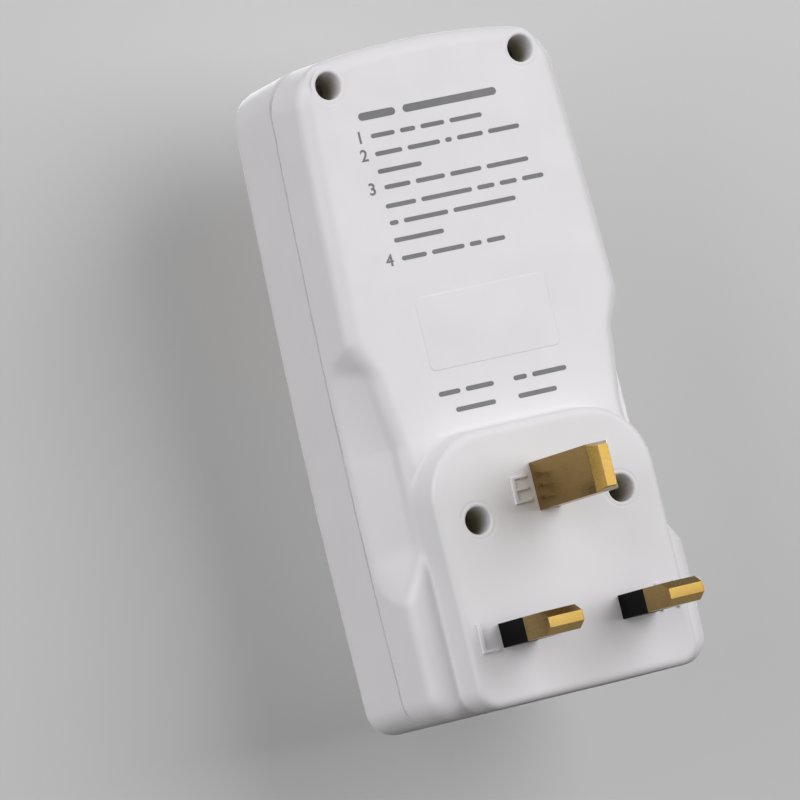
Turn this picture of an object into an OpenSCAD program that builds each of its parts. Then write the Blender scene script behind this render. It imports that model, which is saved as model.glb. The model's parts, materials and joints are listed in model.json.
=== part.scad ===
// Plug-through residual-current adaptor for the three-pin rectangular-pin mains system.
// Origin: on the plug face, midway between the line and neutral pins.
// +Y runs out along the pins, +Z runs up towards the earth pin, +X is the line side.

/* [Housing] */
// Height from the flat bottom end to the crown of the arched top
body_h = 110.5; // [109:0.5:116]
// Greatest width, at the parting line
body_w = 52.8; // [52:0.2:56]
// Depth from the front face to the plug face
body_d = 35; // [34.8:0.2:40]
// Depth of the parting line behind the plug face
part_d = 17; // [16:0.5:18.5]
// Height of the plug platform above the rear face
step_d = 6.1; // [5.5:0.1:6.5]
// Distance from the line and neutral pins down to the bottom end
pin_drop = 11.4; // [11:0.1:13]
// Wall thickness of the mouldings
wall = 2.2; // [1.8:0.1:2.4]
// Thickness of the front wall
front_wall = 2.6; // [2.2:0.1:2.7]
// Radius of the arched top
crown_r = 125; // [100:5:200]
// Radius of the gently bowed sides
side_r = 1435; // [1200:5:3000]
// Height at which the body is widest
widest_z = 10; // [5:1:20]
// Corner radius at the top of the outline
top_corner_r = 6; // [4:0.5:7]
// Corner radius at the bottom of the outline
bottom_corner_r = 4.5; // [3:0.5:6]
// Rounding of the rear edge
rear_edge_r = 2.6; // [1.5:0.1:3]
// Rounding of the front edge
front_edge_r = 4; // [2:0.5:4.5]
// Inward lean of the side walls from the parting line to the rear edge
rear_draft = 0.5; // [0.2:0.1:0.8]
// Inward lean of the side walls from the parting line to the front edge
front_draft = 0.4; // [0.2:0.1:0.8]
// Depth of the groove along the parting line, cut in the rear moulding
groove = 0.3; // [0.15:0.05:0.5]

/* [Finger grips] */
// Greatest depth of the finger grips, at the rear face
grip_depth = 4.7; // [4.2:0.1:4.9]
// Loss of that depth per millimetre of height above the platform
grip_taper = 0.16; // [0.12:0.01:0.17]
// Where the grips start above the line and neutral pins
grip_low = 8.6; // [7:0.2:10]
// Where the grips end above the line and neutral pins
grip_high = 52.5; // [50:0.1:54]
// Length of the arched lower end of a grip
grip_reach = 7.9; // [6:0.1:9]
// Length of the upper end of a grip
grip_fade = 4.4; // [3.6:0.1:5]
// Fall of the upper end per millimetre from the rear face towards the parting line
grip_sweep = 0.6; // [0.4:0.05:0.8]
// Distance from the parting line to the bend where a grip begins
grip_lip = 1; // [0.8:0.1:1.6]

/* [Plug platform] */
// Width of the platform at its base
plat_w = 41.6; // [40:0.2:43]
// Top of the platform above the line and neutral pins
plat_top = 33.6; // [32.5:0.1:35]
// Upper corner radius of the platform
plat_corner_r = 11; // [8:0.5:13]
// Lower corner radius of the platform
plat_low_r = 3.6; // [2:0.2:5]
// Rounding of the platform edge
plat_edge_r = 1.1; // [0.5:0.1:1.5]
// Hollow fillet at the foot of the platform
plat_fillet = 0.6; // [0.4:0.1:1.2]
// Inward lean of the platform walls
plat_draft = 0.45; // [0.2:0.05:0.8]

/* [Pins] */
// Distance between the line and neutral pins
pin_span = 22.23; // [22.2:0.01:22.3]
// Height of the earth pin above the other two
earth_rise = 22.23; // [22.2:0.01:22.3]
// Width of the line and neutral pins
live_w = 6.35; // [6.2:0.01:6.5]
// Thickness of the line and neutral pins
live_t = 3.97; // [3.9:0.01:4.05]
// Length of the line and neutral pins from the plug face
live_len = 17.7; // [17.2:0.1:18.2]
// Width of the earth pin
earth_w = 3.97; // [3.9:0.01:4.05]
// Height of the earth pin section
earth_h = 7.92; // [7.8:0.01:8.05]
// Length of the earth pin from the plug face
earth_len = 22.73; // [22.2:0.01:23.2]
// Length of the insulating sleeves
sleeve_len = 8.9; // [8:0.1:9.5]
// Thickness of the insulating sleeves
sleeve_t = 0.6; // [0.4:0.05:0.9]
// Width of the bevel at the pin tips
tip_bevel = 1.12; // [0.6:0.02:1.3]
// Length of the bevel at the pin tips
tip_run = 2; // [1:0.1:3]
// Thickness of the flange that holds a pin behind the plug face
flange_t = 2; // [1.5:0.1:2.5]
// Width of that flange around the pin
flange_rim = 1.5; // [1:0.1:2]
// Thickness of the plate that clamps the flanges
retainer_t = 2; // [1.5:0.1:2.4]

/* [Screws] */
// Sideways place of the upper screws, as a share of the half width
upper_screw_share = 0.676; // [0.66:0.002:0.68]
// Distance of the upper screws below the crown of the top
upper_screw_drop = 5.9; // [5.7:0.1:7]
// Sideways place of the screws in the platform
lower_screw_x = 13.3; // [13:0.1:14]
// Height of the screws in the platform
lower_screw_z = 18.9; // [18.5:0.1:20]
// Diameter of the screw recesses
recess_d = 4.7; // [4.4:0.1:5]
// Thickness of the seat under a screw head
seat_t = 1.6; // [1.2:0.1:2]
// Wall around a screw recess
tube_wall = 1.45; // [1.2:0.05:1.6]
// Diameter of the screw shank
screw_d = 2.5; // [2.2:0.1:2.8]
// Length of the screw shank
screw_len = 12; // [8:0.5:13]
// Height of the screw head
head_h = 1.8; // [1.4:0.1:2.2]
// Diameter of the front bosses that the screws bite into
boss_d = 7; // [6:0.1:7.2]

/* [Socket] */
// Width of the line and neutral apertures
slot_w = 7.1; // [6.9:0.1:7.4]
// Height of the line and neutral apertures
slot_h = 4.9; // [4.6:0.1:5]
// Width of the earth aperture
earth_slot_w = 4.9; // [4.7:0.1:5.1]
// Height of the earth aperture
earth_slot_h = 8.9; // [8.6:0.1:9]
// Bevel around the apertures
slot_bevel = 0.6; // [0.3:0.1:0.8]
// Thickness of the shutter
shutter_t = 2.7; // [2.2:0.1:2.9]
// Width of the shutter
shutter_w = 32.4; // [31.6:0.2:32.8]
// Travel of the shutter
shutter_travel = 5.4; // [5:0.1:5.6]
// Depth of the insulating block that holds the contacts
base_t = 14.2; // [13.6:0.1:14.6]
// Thickness of the spring contacts
clip_t = 0.7; // [0.5:0.05:0.9]
// Gap between the two leaves of a contact
clip_gap = 3.8; // [3.6:0.05:3.9]

/* [Controls] */
// Sideways place of the reset button, as a share of the half width
reset_share = -0.322; // [-0.33:0.002:-0.318]
// Sideways place of the test button, as a share of the half width
test_share = 0.36; // [0.35:0.002:0.378]
// Height of both buttons, as a share of the room above the outlet block
button_share = 0.485; // [0.475:0.005:0.495]
// Width of the reset button
reset_w = 12.4; // [10:0.2:13]
// Width of the test button
test_w = 10; // [8:0.2:10.4]
// Height of the button faces
button_h = 9; // [7:0.2:10]
// How far the buttons stand proud of the front face
button_proud = 1; // [0.6:0.1:2]
// Travel of the reset button
reset_travel = 2.6; // [2:0.1:2.8]
// Travel of the test button
test_travel = 1.6; // [1:0.1:1.8]
// Width of the recessed control panel
panel_w = 38; // [36:0.5:39]
// Height of the recessed control panel
panel_h = 33; // [31:0.5:35]
// Depth of the recessed control panel
panel_d = 0.8; // [0.4:0.1:1]
// Height of the indicator window, as a share of the room above the outlet block
window_share = 0.72; // [0.715:0.005:0.725]
// Width of the indicator window
window_w = 5; // [4:0.1:5.2]
// Visible height of the indicator window
window_h = 4; // [3:0.1:4.2]

/* [Trip mechanism] */
// Thickness of the circuit board
board_t = 1.6; // [1.2:0.1:1.8]
// Stand-off of the circuit board from the rear wall
board_gap = 2.1; // [1.8:0.1:2.2]
// Travel of the contact carrier
contact_travel = 2.5; // [2:0.1:2.6]
// Thickness of the contact carrier
carrier_t = 4; // [3.6:0.1:4.2]
// Thickness of the conductor straps
strap_t = 0.8; // [0.6:0.1:1]
// Width of the conductor straps
strap_w = 3; // [2.4:0.1:3.2]
// Outer diameter of the sensing core
core_d = 17; // [15:0.5:17.5]
// Height of the sensing core
core_h = 7.5; // [6:0.5:8]
// Outer diameter of the trip coil
coil_d = 11; // [9:0.2:11.4]
// Length of the trip coil
coil_len = 10; // [9:0.5:10.5]
// Travel of the trip plunger
trip_travel = 1.5; // [1:0.1:1.6]
// Turn of the indicator flag as the contacts close
flag_turn = 36; // [30:1:38]

/* [Hidden] */
$fn = 48;

// Colours
shell_white = [0.9, 0.9, 0.9];
pin_brass = [0.83, 0.68, 0.36];
sleeve_black = [0.08, 0.08, 0.08];
screw_steel = [0.45, 0.45, 0.46];
spring_steel = [0.7, 0.7, 0.72];
copper = [0.8, 0.5, 0.32];
insulator = [0.82, 0.8, 0.76];

// Clearances
slide_gap = 0.3;
snug_gap = 0.1;
run_gap = 0.05;
overlap = 0.2;

// Depth planes, from the plug face towards the front
front_y = -body_d;
rear_y = -step_d;
part_y = -part_d;
front_in = front_y + front_wall;
rear_in = rear_y - wall;
plug_in = -wall;
bottom_z = -pin_drop;
top_z = body_h - pin_drop;
half_w = body_w / 2;
pin_x = pin_span / 2;

// Room above the outlet block, which the controls and the mechanism share out
base_high = 31;
room = top_z - base_high;
function up(share) = base_high + share * room;
function across(share) = share * half_w;
upper_screw_x = across(upper_screw_share);
upper_screw_z = top_z - upper_screw_drop;
reset_x = across(reset_share);
test_x = across(test_share);
button_z = up(button_share);
window_z = up(window_share);

// Outline of the body, from arcs that meet at tangents
side_centre = [half_w - side_r, widest_z];
crown_centre = [0, top_z - crown_r];
corner_steps = 6;
crown_steps = 6;

// Angle of the line from one point to another
function heading(from, to) = atan2(to[1] - from[1], to[0] - from[0]);

// Points of an arc, both ends included
function arc(centre, r, a0, a1, steps) = [
    for (i = [0 : steps])
        let (a = a0 + (a1 - a0) * i / steps)
            [centre[0] + r * cos(a), centre[1] + r * sin(a)]
];

// Upper right crossing of two circles
function crossing(c0, r0, c1, r1) =
    let (
        span = norm(c1 - c0),
        along = (r0 * r0 - r1 * r1 + span * span) / (2 * span),
        off = sqrt(r0 * r0 - along * along),
        dir = (c1 - c0) / span
    )
    c0 + along * dir + off * [dir[1], -dir[0]];

// Point of the bowed side at a height
function side_point(z, r) = [side_centre[0] + sqrt(r * r - pow(z - widest_z, 2)), z];

// Right half of the body outline with its sides leaned in by lean and its edge rounded in by inset
function half_outline(lean, inset, heights) =
    let (
        top_k = crossing(crown_centre, crown_r - lean - top_corner_r,
                         side_centre, side_r - lean - top_corner_r),
        low_k = side_point(bottom_z + bottom_corner_r, side_r - lean - bottom_corner_r),
        a_low = heading(side_centre, low_k),
        a_high = heading(side_centre, top_k),
        a_crown = heading(crown_centre, top_k),
        crown = arc(crown_centre, crown_r - lean - inset, a_crown, 90, crown_steps)
    )
    concat(
        arc(low_k, bottom_corner_r - inset, -90, a_low, corner_steps),
        [for (z = heights) side_point(z, side_r - lean - inset)],
        arc(top_k, top_corner_r - inset, a_high, a_crown, corner_steps),
        [for (i = [1 : crown_steps]) crown[i]]
    );

// Evenly spaced values between two ends, both included
function spaced(a, b, steps) = [for (i = [0 : steps]) a + (b - a) * i / steps];

// Smooth step from 0 to 1 between two heights
function ease(z, z0, z1) =
    let (t = min(max((z - z0) / (z1 - z0), 0), 1))
    t * t * (3 - 2 * t);

// Zero below, the value itself above, and a round bend between
function soft_ramp(v, bend) = v < -bend ? 0 : v > bend ? v : pow(v + bend, 2) / (4 * bend);

// Zero below 0, one above 1, with a round bend at each end
function fade_in(v) = 1 - soft_ramp(1 - soft_ramp(v, 0.1), 0.25);

// Depth of the finger grip at a depth plane and a height: a slanted cut up to the rounded rear edge,
// with a swept upper end and an arched lower end
rear_d = part_d - step_d;
function grip_cut(y, z) =
    let (
        slant = soft_ramp(y - part_y - grip_lip, grip_lip) / (rear_d - rear_edge_r - grip_lip),
        deep = (grip_depth - grip_taper * max(z - plat_top, 0)) * min(slant, 1),
        back = max(rear_y - y, 0),
        arch = sqrt(max(1 - pow(back / rear_d, 2), 0.04)),
        below = fade_in(((z - grip_low) / grip_reach - 1) / arch + 1),
        above = fade_in((grip_high - grip_sweep * back - z) / grip_fade)
    )
    deep * below * above;

// Share of the full grip depth at a height
function grip_share(z) = grip_cut(rear_y, z) / grip_depth;

// Closed ring of the body at one depth plane, ring = [y, lean, inset]; the edge is tighter in a grip
grip_edge = 0.15;
function body_ring(ring, heights) =
    let (
        half = half_outline(ring[1], ring[2], heights),
        n = len(half),
        right = [
            for (p = half)
                let (cut = grip_cut(ring[0], p[1]) - grip_edge * ring[2] * grip_share(p[1]))
                    [p[0] > 0.5 * half_w ? p[0] - cut : p[0], p[1]]
        ]
    )
    [for (i = [0 : 2 * n - 2])
        let (p = i < n ? right[i] : right[2 * n - 2 - i])
            [i < n ? p[0] : -p[0], ring[0], p[1]]];

// Solid skinned over closed rings of equal length, in order of rising y
module loft(rings) {
    n = len(rings[0]);
    last = len(rings) - 1;
    points = [for (r = rings) for (p = r) p];
    sides = [
        for (i = [0 : last - 1])
            for (j = [0 : n - 1])
                let (k = (j + 1) % n, a = i * n, b = a + n)
                    each [[a + j, a + k, b + k], [a + j, b + k, b + j]]
    ];
    front = [for (j = [n - 1 : -1 : 0]) j];
    back = [for (j = [0 : n - 1]) last * n + j];
    polyhedron(points, concat([front], sides, [back]), convexity = 8);
}

// Rings of a quarter-round edge that ends at plane y, turning away in direction way
function edge_rings(y, way, r, lean, steps) = [
    for (i = [0 : steps])
        let (a = 90 * i / steps)
            [y + way * r * (sin(a) - 1), lean, r * (1 - cos(a))]
];

function reversed(list) = [for (i = [len(list) - 1 : -1 : 0]) list[i]];

// Share of the foot fillet that is left beside a finger grip, where platform and grip run together
function foot_share(p) =
    1 - grip_share(p[1]) * ease(p[0], plat_w / 2 - plat_corner_r, plat_w / 2 - 1);

// Closed ring of the plug platform, ring = [y, shrink, lift of the bottom edge, spread of the foot]
plat_lift = 0.05;
plat_steps = 10;
function plat_ring(ring) =
    let (
        e = ring[1],
        w = plat_w / 2 - e,
        top_r = plat_corner_r - e,
        low_r = max(plat_low_r - e, 0.3),
        high = plat_top - e - top_r,
        low = bottom_z + plat_lift + ring[2] + low_r,
        low_arc = arc([w - low_r, low], low_r, -90, 0, corner_steps),
        side = spaced(low, high, plat_steps),
        top_arc = arc([w - top_r, high], top_r, 0, 90, 2 * corner_steps),
        low_part = [for (p = low_arc) p + [ring[3] * (p[0] - w + low_r) / low_r * foot_share(p), 0]],
        side_part = [
            for (i = [1 : plat_steps - 1])
                let (p = [w, side[i]])
                    p + [ring[3] * foot_share(p), 0]
        ],
        top_part = [
            for (p = top_arc)
                p + ring[3] * foot_share(p) / top_r * (p - [w - top_r, high])
        ],
        half = concat(low_part, side_part, top_part),
        n = len(half)
    )
    [for (i = [0 : 2 * n - 1])
        let (p = i < n ? half[i] : half[2 * n - 1 - i])
            [i < n ? p[0] : -p[0], ring[0], p[1]]];

// Box between two values on each axis
module block(x, y, z) {
    translate([x[0], y[0], z[0]])
        cube([x[1] - x[0], y[1] - y[0], z[1] - z[0]]);
}

// Round bar along Y between two planes
module rod_y(x, z, y0, y1, d) {
    translate([x, y0, z])
        rotate([-90, 0, 0])
            cylinder(d = d, h = y1 - y0);
}

// Round bar along Z between two heights
module rod_z(x, y, z0, z1, d) {
    translate([x, y, z0])
        cylinder(d = d, h = z1 - z0);
}

// Round bar along X between two places
module rod_x(y, z, x0, x1, d) {
    translate([x0, y, z])
        rotate([0, 90, 0])
            cylinder(d = d, h = x1 - x0);
}

// Flat outline in X and Z, extruded between two depth planes
module prism_y(y0, y1) {
    translate([0, y1, 0])
        rotate([90, 0, 0])
            linear_extrude(height = y1 - y0)
                children();
}

// Flat outline in Y and Z, extruded between two sideways places
module prism_x(x0, x1) {
    translate([x0, 0, 0])
        rotate([90, 0, 90])
            linear_extrude(height = x1 - x0)
                children();
}

// Rectangle with round corners, centred
module round_rect(w, h, r) {
    square([w - 2 * r, h], center = true);
    square([w, h - 2 * r], center = true);
    for (x = [-1, 1])
        for (z = [-1, 1])
            translate([x * (w / 2 - r), z * (h / 2 - r)])
                circle(r = r);
}

// Left and right copies
module both_sides() {
    children();
    mirror([1, 0, 0])
        children();
}

// Coil spring standing on z = 0, with its wire inside the stated outer diameter and length
coil_rings = 8;
wire_sides = 6;
module spring(outer_d, wire_d, length, turns) {
    r = (outer_d - wire_d) / 2;
    count = coil_rings * turns;
    rise = (length - wire_d) / count;
    points = [
        for (i = [0 : count])
            for (k = [0 : wire_sides - 1])
                let (
                    a = 360 * i / coil_rings,
                    b = 360 * k / wire_sides,
                    q = r + wire_d / 2 * cos(b)
                )
                [q * cos(a), q * sin(a), wire_d / 2 + rise * i + wire_d / 2 * sin(b)]
    ];
    sides = [
        for (i = [0 : count - 1])
            for (k = [0 : wire_sides - 1])
                let (j = (k + 1) % wire_sides, a = i * wire_sides, b = a + wire_sides)
                    each [[a + k, b + j, b + k], [a + k, a + j, b + j]]
    ];
    start = [for (k = [wire_sides - 1 : -1 : 0]) k];
    finish = [for (k = [0 : wire_sides - 1]) count * wire_sides + k];
    polyhedron(points, concat([start], sides, [finish]), convexity = 8);
}

// Spring along Y between two planes
module spring_y(x, z, y0, y1, outer_d, wire_d, turns) {
    translate([x, y0 + run_gap, z])
        rotate([-90, 0, 0])
            spring(outer_d, wire_d, y1 - y0 - 2 * run_gap, turns);
}

// Spring along Z between two heights
module spring_z(x, y, z0, z1, outer_d, wire_d, turns) {
    translate([x, y, z0 + run_gap])
        spring(outer_d, wire_d, z1 - z0 - 2 * run_gap, turns);
}

// Screw places, each [x, z, plane of the recess mouth]
screws = [
    for (side = [-1, 1])
        each [
            [side * upper_screw_x, upper_screw_z, rear_y],
            [side * lower_screw_x, lower_screw_z, 0]
        ]
];
tube_d = recess_d + 2 * tube_wall;
seat_y = part_y + seat_t;

// Control panel
panel_z = (button_z - button_h / 2 + window_z + window_h / 2) / 2;
panel_y = front_y + panel_d;
flange_gap = 0.2;
button_flange_t = 1.2;
button_rim = 1;
button_face = front_y - button_proud;
flange_front = front_in + flange_gap;
flange_back = flange_front + button_flange_t;
button_corner = 2;

// Circuit board and the stack of the contact mechanism in front of it
board_back = rear_in - board_gap;
board_front = board_back - board_t;
board_half = across(0.765);
board_low = up(0.112);
board_high = up(0.846);
carrier_lift = 1.4;
carrier_back = board_front - carrier_lift;
carrier_front = carrier_back - carrier_t;
bridge_t = 1;
bridge_w = 2.6;
tip_d = 2.4;
tip_t = 0.8;
bridge_front = carrier_front - bridge_t;
tip_face = bridge_front - tip_t;
fixed_face = tip_face - contact_travel - snug_gap;
strap_back = fixed_face - tip_t;
strap_front = strap_back - strap_t;
deck_t = 1.6;
deck_back = strap_front;
deck_front = deck_back - deck_t;
pole_x = across(0.208);
tip_z = 0.132 * room;
carrier_half = across(0.379);
carrier_half_h = 0.088 * room;
cheek_t = 1.2;
cheek_in = carrier_half + slide_gap;
cheek_out = cheek_in + cheek_t;
stem_d = 4;
spring_x = across(0.326);
latch_t = 0.8;
latch_half = across(0.136);

// Shutter, contacts and the block that holds them
shutter_front = front_in + flange_gap;
shutter_back = shutter_front + shutter_t;
base_front = shutter_back + slide_gap;
base_back = base_front + base_t;
base_side = 7.4;
base_half = half_w - base_side;
base_low = bottom_z + wall + 0.8;
shutter_half_h = shutter_travel - slot_h / 2 - 0.05;
lug_half = 2.8;
lug_t = 2.9;
lug_back = shutter_back + lug_t;
lug_low = 12;
ramp_high = earth_rise - earth_h / 2 + shutter_travel - 0.2;
ramp_low = ramp_high - (lug_back - shutter_front);
fork_half = 5;
ledge_low = shutter_half_h + 0.3;
ledge_t = 1.2;
rail_t = 2;
clip_back = base_back - 0.4;
clip_mouth = base_front + 0.8;
clip_flare = 0.6;

// Pins and their tails
tail_y = plug_in - flange_t - retainer_t - 3;
earth_tail_y = tail_y - strap_t;

// Feed straps rise beside the earth pin, then pass through the sensing core
riser_in = 5.4;
riser_out = riser_in + strap_w;
core_x = reset_x;
winding_t = 0.6;
core_y = board_front - core_d / 2 - winding_t - 0.6;
core_z = up(0.129);
core_hole = 10;
core_strap_in = 0.7;
jog_z = up(0.038);
jog_h = 2;

// Trip coil
coil_x = reset_x - across(0.076);
coil_y = board_front - coil_d / 2 - 1.9;
yoke_t = 1.2;
yoke_low = up(0.652);
coil_low = yoke_low + yoke_t;
coil_high = coil_low + coil_len;
plunger_d = 4;
plunger_bore = plunger_d + 2 * 0.08;
latch_top = button_z + 0.125 * room;
plunger_tip = latch_top + slide_gap;
plunger_top = coil_high + yoke_t + 0.073 * room;

// Indicator flag
flag_y = front_in + 6.9;
flag_r = 6.2;
flag_half = window_w / 2 + 0.2;
pivot_d = 1.9;
crank_r = contact_travel / sin(flag_turn);
crank_d = 1.4;
arm_x = reset_x + carrier_half;
arm_t = 1.2;
ear_in = flag_half + slide_gap;
ear_t = 1.4;

// Rear moulding, with finger grips, plug platform, screw tubes and board posts
edge_steps = 6;
shoulder_z = top_z - top_corner_r - 4;
rear_heights = concat(
    [grip_low / 2],
    spaced(grip_low - 0.1 * grip_reach, grip_low + 1.3 * grip_reach, 9),
    spaced(grip_low + 2 * grip_reach, grip_high - 4 * grip_fade, 2),
    spaced(grip_high - 3 * grip_fade, grip_high + 0.1 * grip_fade, 11),
    [(grip_high + shoulder_z) / 2, shoulder_z]
);
rear_outer = concat(
    [[part_y, 0, groove], [part_y + groove, 0, 0]],
    [for (t = [0.25, 0.5, 0.75]) [part_y + t * (rear_y - rear_edge_r - part_y), t * rear_draft, 0]],
    edge_rings(rear_y, 1, rear_edge_r, rear_draft, edge_steps)
);
plat_foot = rear_y - rear_edge_r - 0.6;
foot_dip = 0.2;
plat_outer = concat(
    [[plat_foot, 0, 0, 0]],
    [for (a = [0, 30, 60, 90])
        [rear_y - foot_dip + (plat_fillet + foot_dip) * (1 - cos(a)), 0, 0, plat_fillet * (1 - sin(a))]],
    [for (a = spaced(0, 90, edge_steps))
        let (drop = plat_edge_r * (1 - cos(a)))
            [plat_edge_r * (sin(a) - 1), plat_draft + drop, drop, 0]]
);

// Half width of the hollow, which narrows straight from the waist to the shoulder
side_wall = wall + 0.6;
waist_w = half_w - side_wall;
shoulder_w = side_point(shoulder_z, side_r)[0] - side_wall;
function hollow_half(z) = waist_w + (shoulder_w - waist_w) * (z - widest_z) / (shoulder_z - widest_z);

// Hollow of the body, from straight walls, between two depth planes
module cavity(y0, y1) {
    low = bottom_z + wall;
    high = top_z - wall - 0.4;
    corner = 3;
    crown_w = shoulder_w - top_corner_r;
    crown_drop = crown_w * crown_w / (2 * crown_r);
    prism_y(y0, y1)
        polygon([
            [-waist_w + corner, low], [waist_w - corner, low], [waist_w, low + corner],
            [waist_w, widest_z], [shoulder_w, shoulder_z], [crown_w, high - crown_drop], [0, high],
            [-crown_w, high - crown_drop], [-shoulder_w, shoulder_z], [-waist_w, widest_z],
            [-waist_w, low + corner]
        ]);
}

// Space inside the grips, narrowing towards the rear wall
module grip_limit() {
    wide = half_w - side_wall;
    narrow = half_w - rear_draft - grip_depth - 0.75 * wall;
    translate([0, 0, bottom_z])
        linear_extrude(height = body_h)
            polygon([
                [-wide, part_y - 1], [wide, part_y - 1], [wide, part_y + 0.5],
                [narrow, rear_in], [-narrow, rear_in], [-wide, part_y + 0.5]
            ]);
}

module rear_cavity() {
    intersection() {
        cavity(part_y - overlap, rear_in);
        grip_limit();
    }
}

module plat_cavity() {
    w = plat_w - 2 * (wall + plat_draft);
    corner = plat_corner_r - wall;
    low = bottom_z + wall + 0.2;
    high = plat_top - plat_draft - wall;
    prism_y(rear_in - 1, plug_in) {
        translate([-w / 2, low])
            square([w, high - corner - low]);
        translate([-w / 2 + corner, low])
            square([w - 2 * corner, high - low]);
        for (side = [-1, 1])
            translate([side * (w / 2 - corner), high - corner])
                circle(r = corner);
    }
}

module board_posts() {
    post_d = 4.4;
    peg_d = 2;
    for (x = [-1, 1])
        for (z = [board_low + 3.4, board_high - 5.4]) {
            rod_y(x * (board_half - 2.4), z, board_back, rear_in + overlap, post_d);
            rod_y(x * (board_half - 2.4), z, board_front - 0.8, board_back + overlap, peg_d);
        }
}

module pin_hole(w, h, x, z) {
    prism_y(plug_in - overlap, overlap)
        translate([x, z])
            square([w + 2 * run_gap, h + 2 * run_gap], center = true);
}

// Body and platform as one skin, at the full width of the body
module rear_skin() {
    resize([body_w, 0, 0])
        union() {
            loft([for (r = rear_outer) body_ring(r, rear_heights)]);
            loft([for (r = plat_outer) plat_ring(r)]);
        }
}

module rear_shell() {
    color(shell_white)
        difference() {
            union() {
                difference() {
                    rear_skin();
                    rear_cavity();
                    plat_cavity();
                }
                for (s = screws)
                    rod_y(s[0], s[1], part_y, s[2] - wall + overlap, tube_d);
                board_posts();
            }
            for (s = screws) {
                rod_y(s[0], s[1], seat_y, s[2] + overlap, recess_d);
                rod_y(s[0], s[1], part_y - overlap, seat_y + overlap, screw_d + 0.3);
            }
            pin_hole(earth_w, earth_h, 0, earth_rise);
            pin_hole(live_w, live_t, pin_x, 0);
            pin_hole(live_w, live_t, -pin_x, 0);
        }
}

// Front moulding, with socket apertures, control panel, bosses and shutter rails
front_heights = spaced(widest_z, shoulder_z, 5);
front_outer = concat(
    reversed(edge_rings(front_y, -1, front_edge_r, front_draft, edge_steps)),
    [[part_y, 0, 0]]
);

// Straight hole with a bevelled mouth, drawn across one of its widths
module mouth_outline(w) {
    polygon([
        [front_y - overlap, -w / 2 - slot_bevel - overlap], [front_y + slot_bevel, -w / 2],
        [front_in + overlap, -w / 2], [front_in + overlap, w / 2],
        [front_y + slot_bevel, w / 2], [front_y - overlap, w / 2 + slot_bevel + overlap]
    ]);
}

// Aperture through the front wall with a bevelled mouth
module aperture(w, h, x, z) {
    translate([x, 0, z])
        intersection() {
            prism_x(-w, w)
                mouth_outline(h);
            translate([0, 0, -h])
                rotate([0, 0, 90])
                    mirror([0, 1, 0])
                        linear_extrude(height = 2 * h)
                            mouth_outline(w);
        }
}

module button_hole(x, w) {
    prism_y(front_y - overlap, front_in + overlap)
        translate([x, button_z])
            round_rect(w + 2 * slide_gap, button_h + 2 * slide_gap, button_corner + slide_gap);
}

// Ears that carry the pivot of the indicator flag
module flag_ears() {
    ear_r = 1.9;
    both_sides()
        difference() {
            prism_x(ear_in, ear_in + ear_t) {
                translate([front_in - overlap, window_z - ear_r])
                    square([flag_y - front_in + overlap, 2 * ear_r]);
                translate([flag_y, window_z])
                    circle(r = ear_r);
            }
            rod_x(flag_y, window_z, ear_in - overlap, ear_in + ear_t + overlap, pivot_d + 2 * run_gap);
        }
}

module front_shell() {
    window_gap = snug_gap;
    color(shell_white)
        difference() {
            union() {
                difference() {
                    loft([for (r = front_outer) body_ring(r, front_heights)]);
                    cavity(front_in, part_y + overlap);
                }
                for (s = screws)
                    rod_y(s[0], s[1], front_in - overlap, part_y, boss_d);
                both_sides()
                    block([shutter_w / 2 + slide_gap, shutter_w / 2 + slide_gap + rail_t],
                          [front_in - overlap, base_front], [base_low + 0.6, lug_low - 2]);
                flag_ears();
            }
            prism_y(front_y - overlap, panel_y)
                translate([0, panel_z])
                    round_rect(panel_w, panel_h, 4);
            for (s = screws)
                rod_y(s[0], s[1], part_y - screw_len - 1, part_y + overlap, screw_d + 2 * run_gap);
            aperture(slot_w, slot_h, pin_x, 0);
            aperture(slot_w, slot_h, -pin_x, 0);
            aperture(earth_slot_w, earth_slot_h, 0, earth_rise);
            button_hole(reset_x, reset_w);
            button_hole(test_x, test_w);
            prism_y(front_y - overlap, front_in + overlap)
                translate([0, window_z])
                    square([window_w + 2 * window_gap, window_h + 2 * window_gap], center = true);
        }
}

// Four cross-head screws that hold the two mouldings together
module housing_screws() {
    head_d = recess_d - 2 * 0.15;
    slot_l = 0.6 * head_d;
    slot_t = 0.6;
    slot_d = 0.9;
    color(screw_steel)
        for (s = screws)
            difference() {
                union() {
                    rod_y(s[0], s[1], seat_y, seat_y + head_h, head_d);
                    rod_y(s[0], s[1], seat_y - screw_len, seat_y + overlap, screw_d);
                }
                translate([s[0], seat_y + head_h - slot_d, s[1]]) {
                    block([-slot_l / 2, slot_l / 2], [0, 2 * slot_d], [-slot_t / 2, slot_t / 2]);
                    block([-slot_t / 2, slot_t / 2], [0, 2 * slot_d], [-slot_l / 2, slot_l / 2]);
                }
            }
}

// Outline of a blade in Y and across its thickness, with a bevelled tip
module blade_outline(len, t, tail) {
    polygon([
        [tail, -t / 2], [len - tip_run, -t / 2], [len, -t / 2 + tip_bevel],
        [len, t / 2 - tip_bevel], [len - tip_run, t / 2], [tail, t / 2]
    ]);
}

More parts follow.
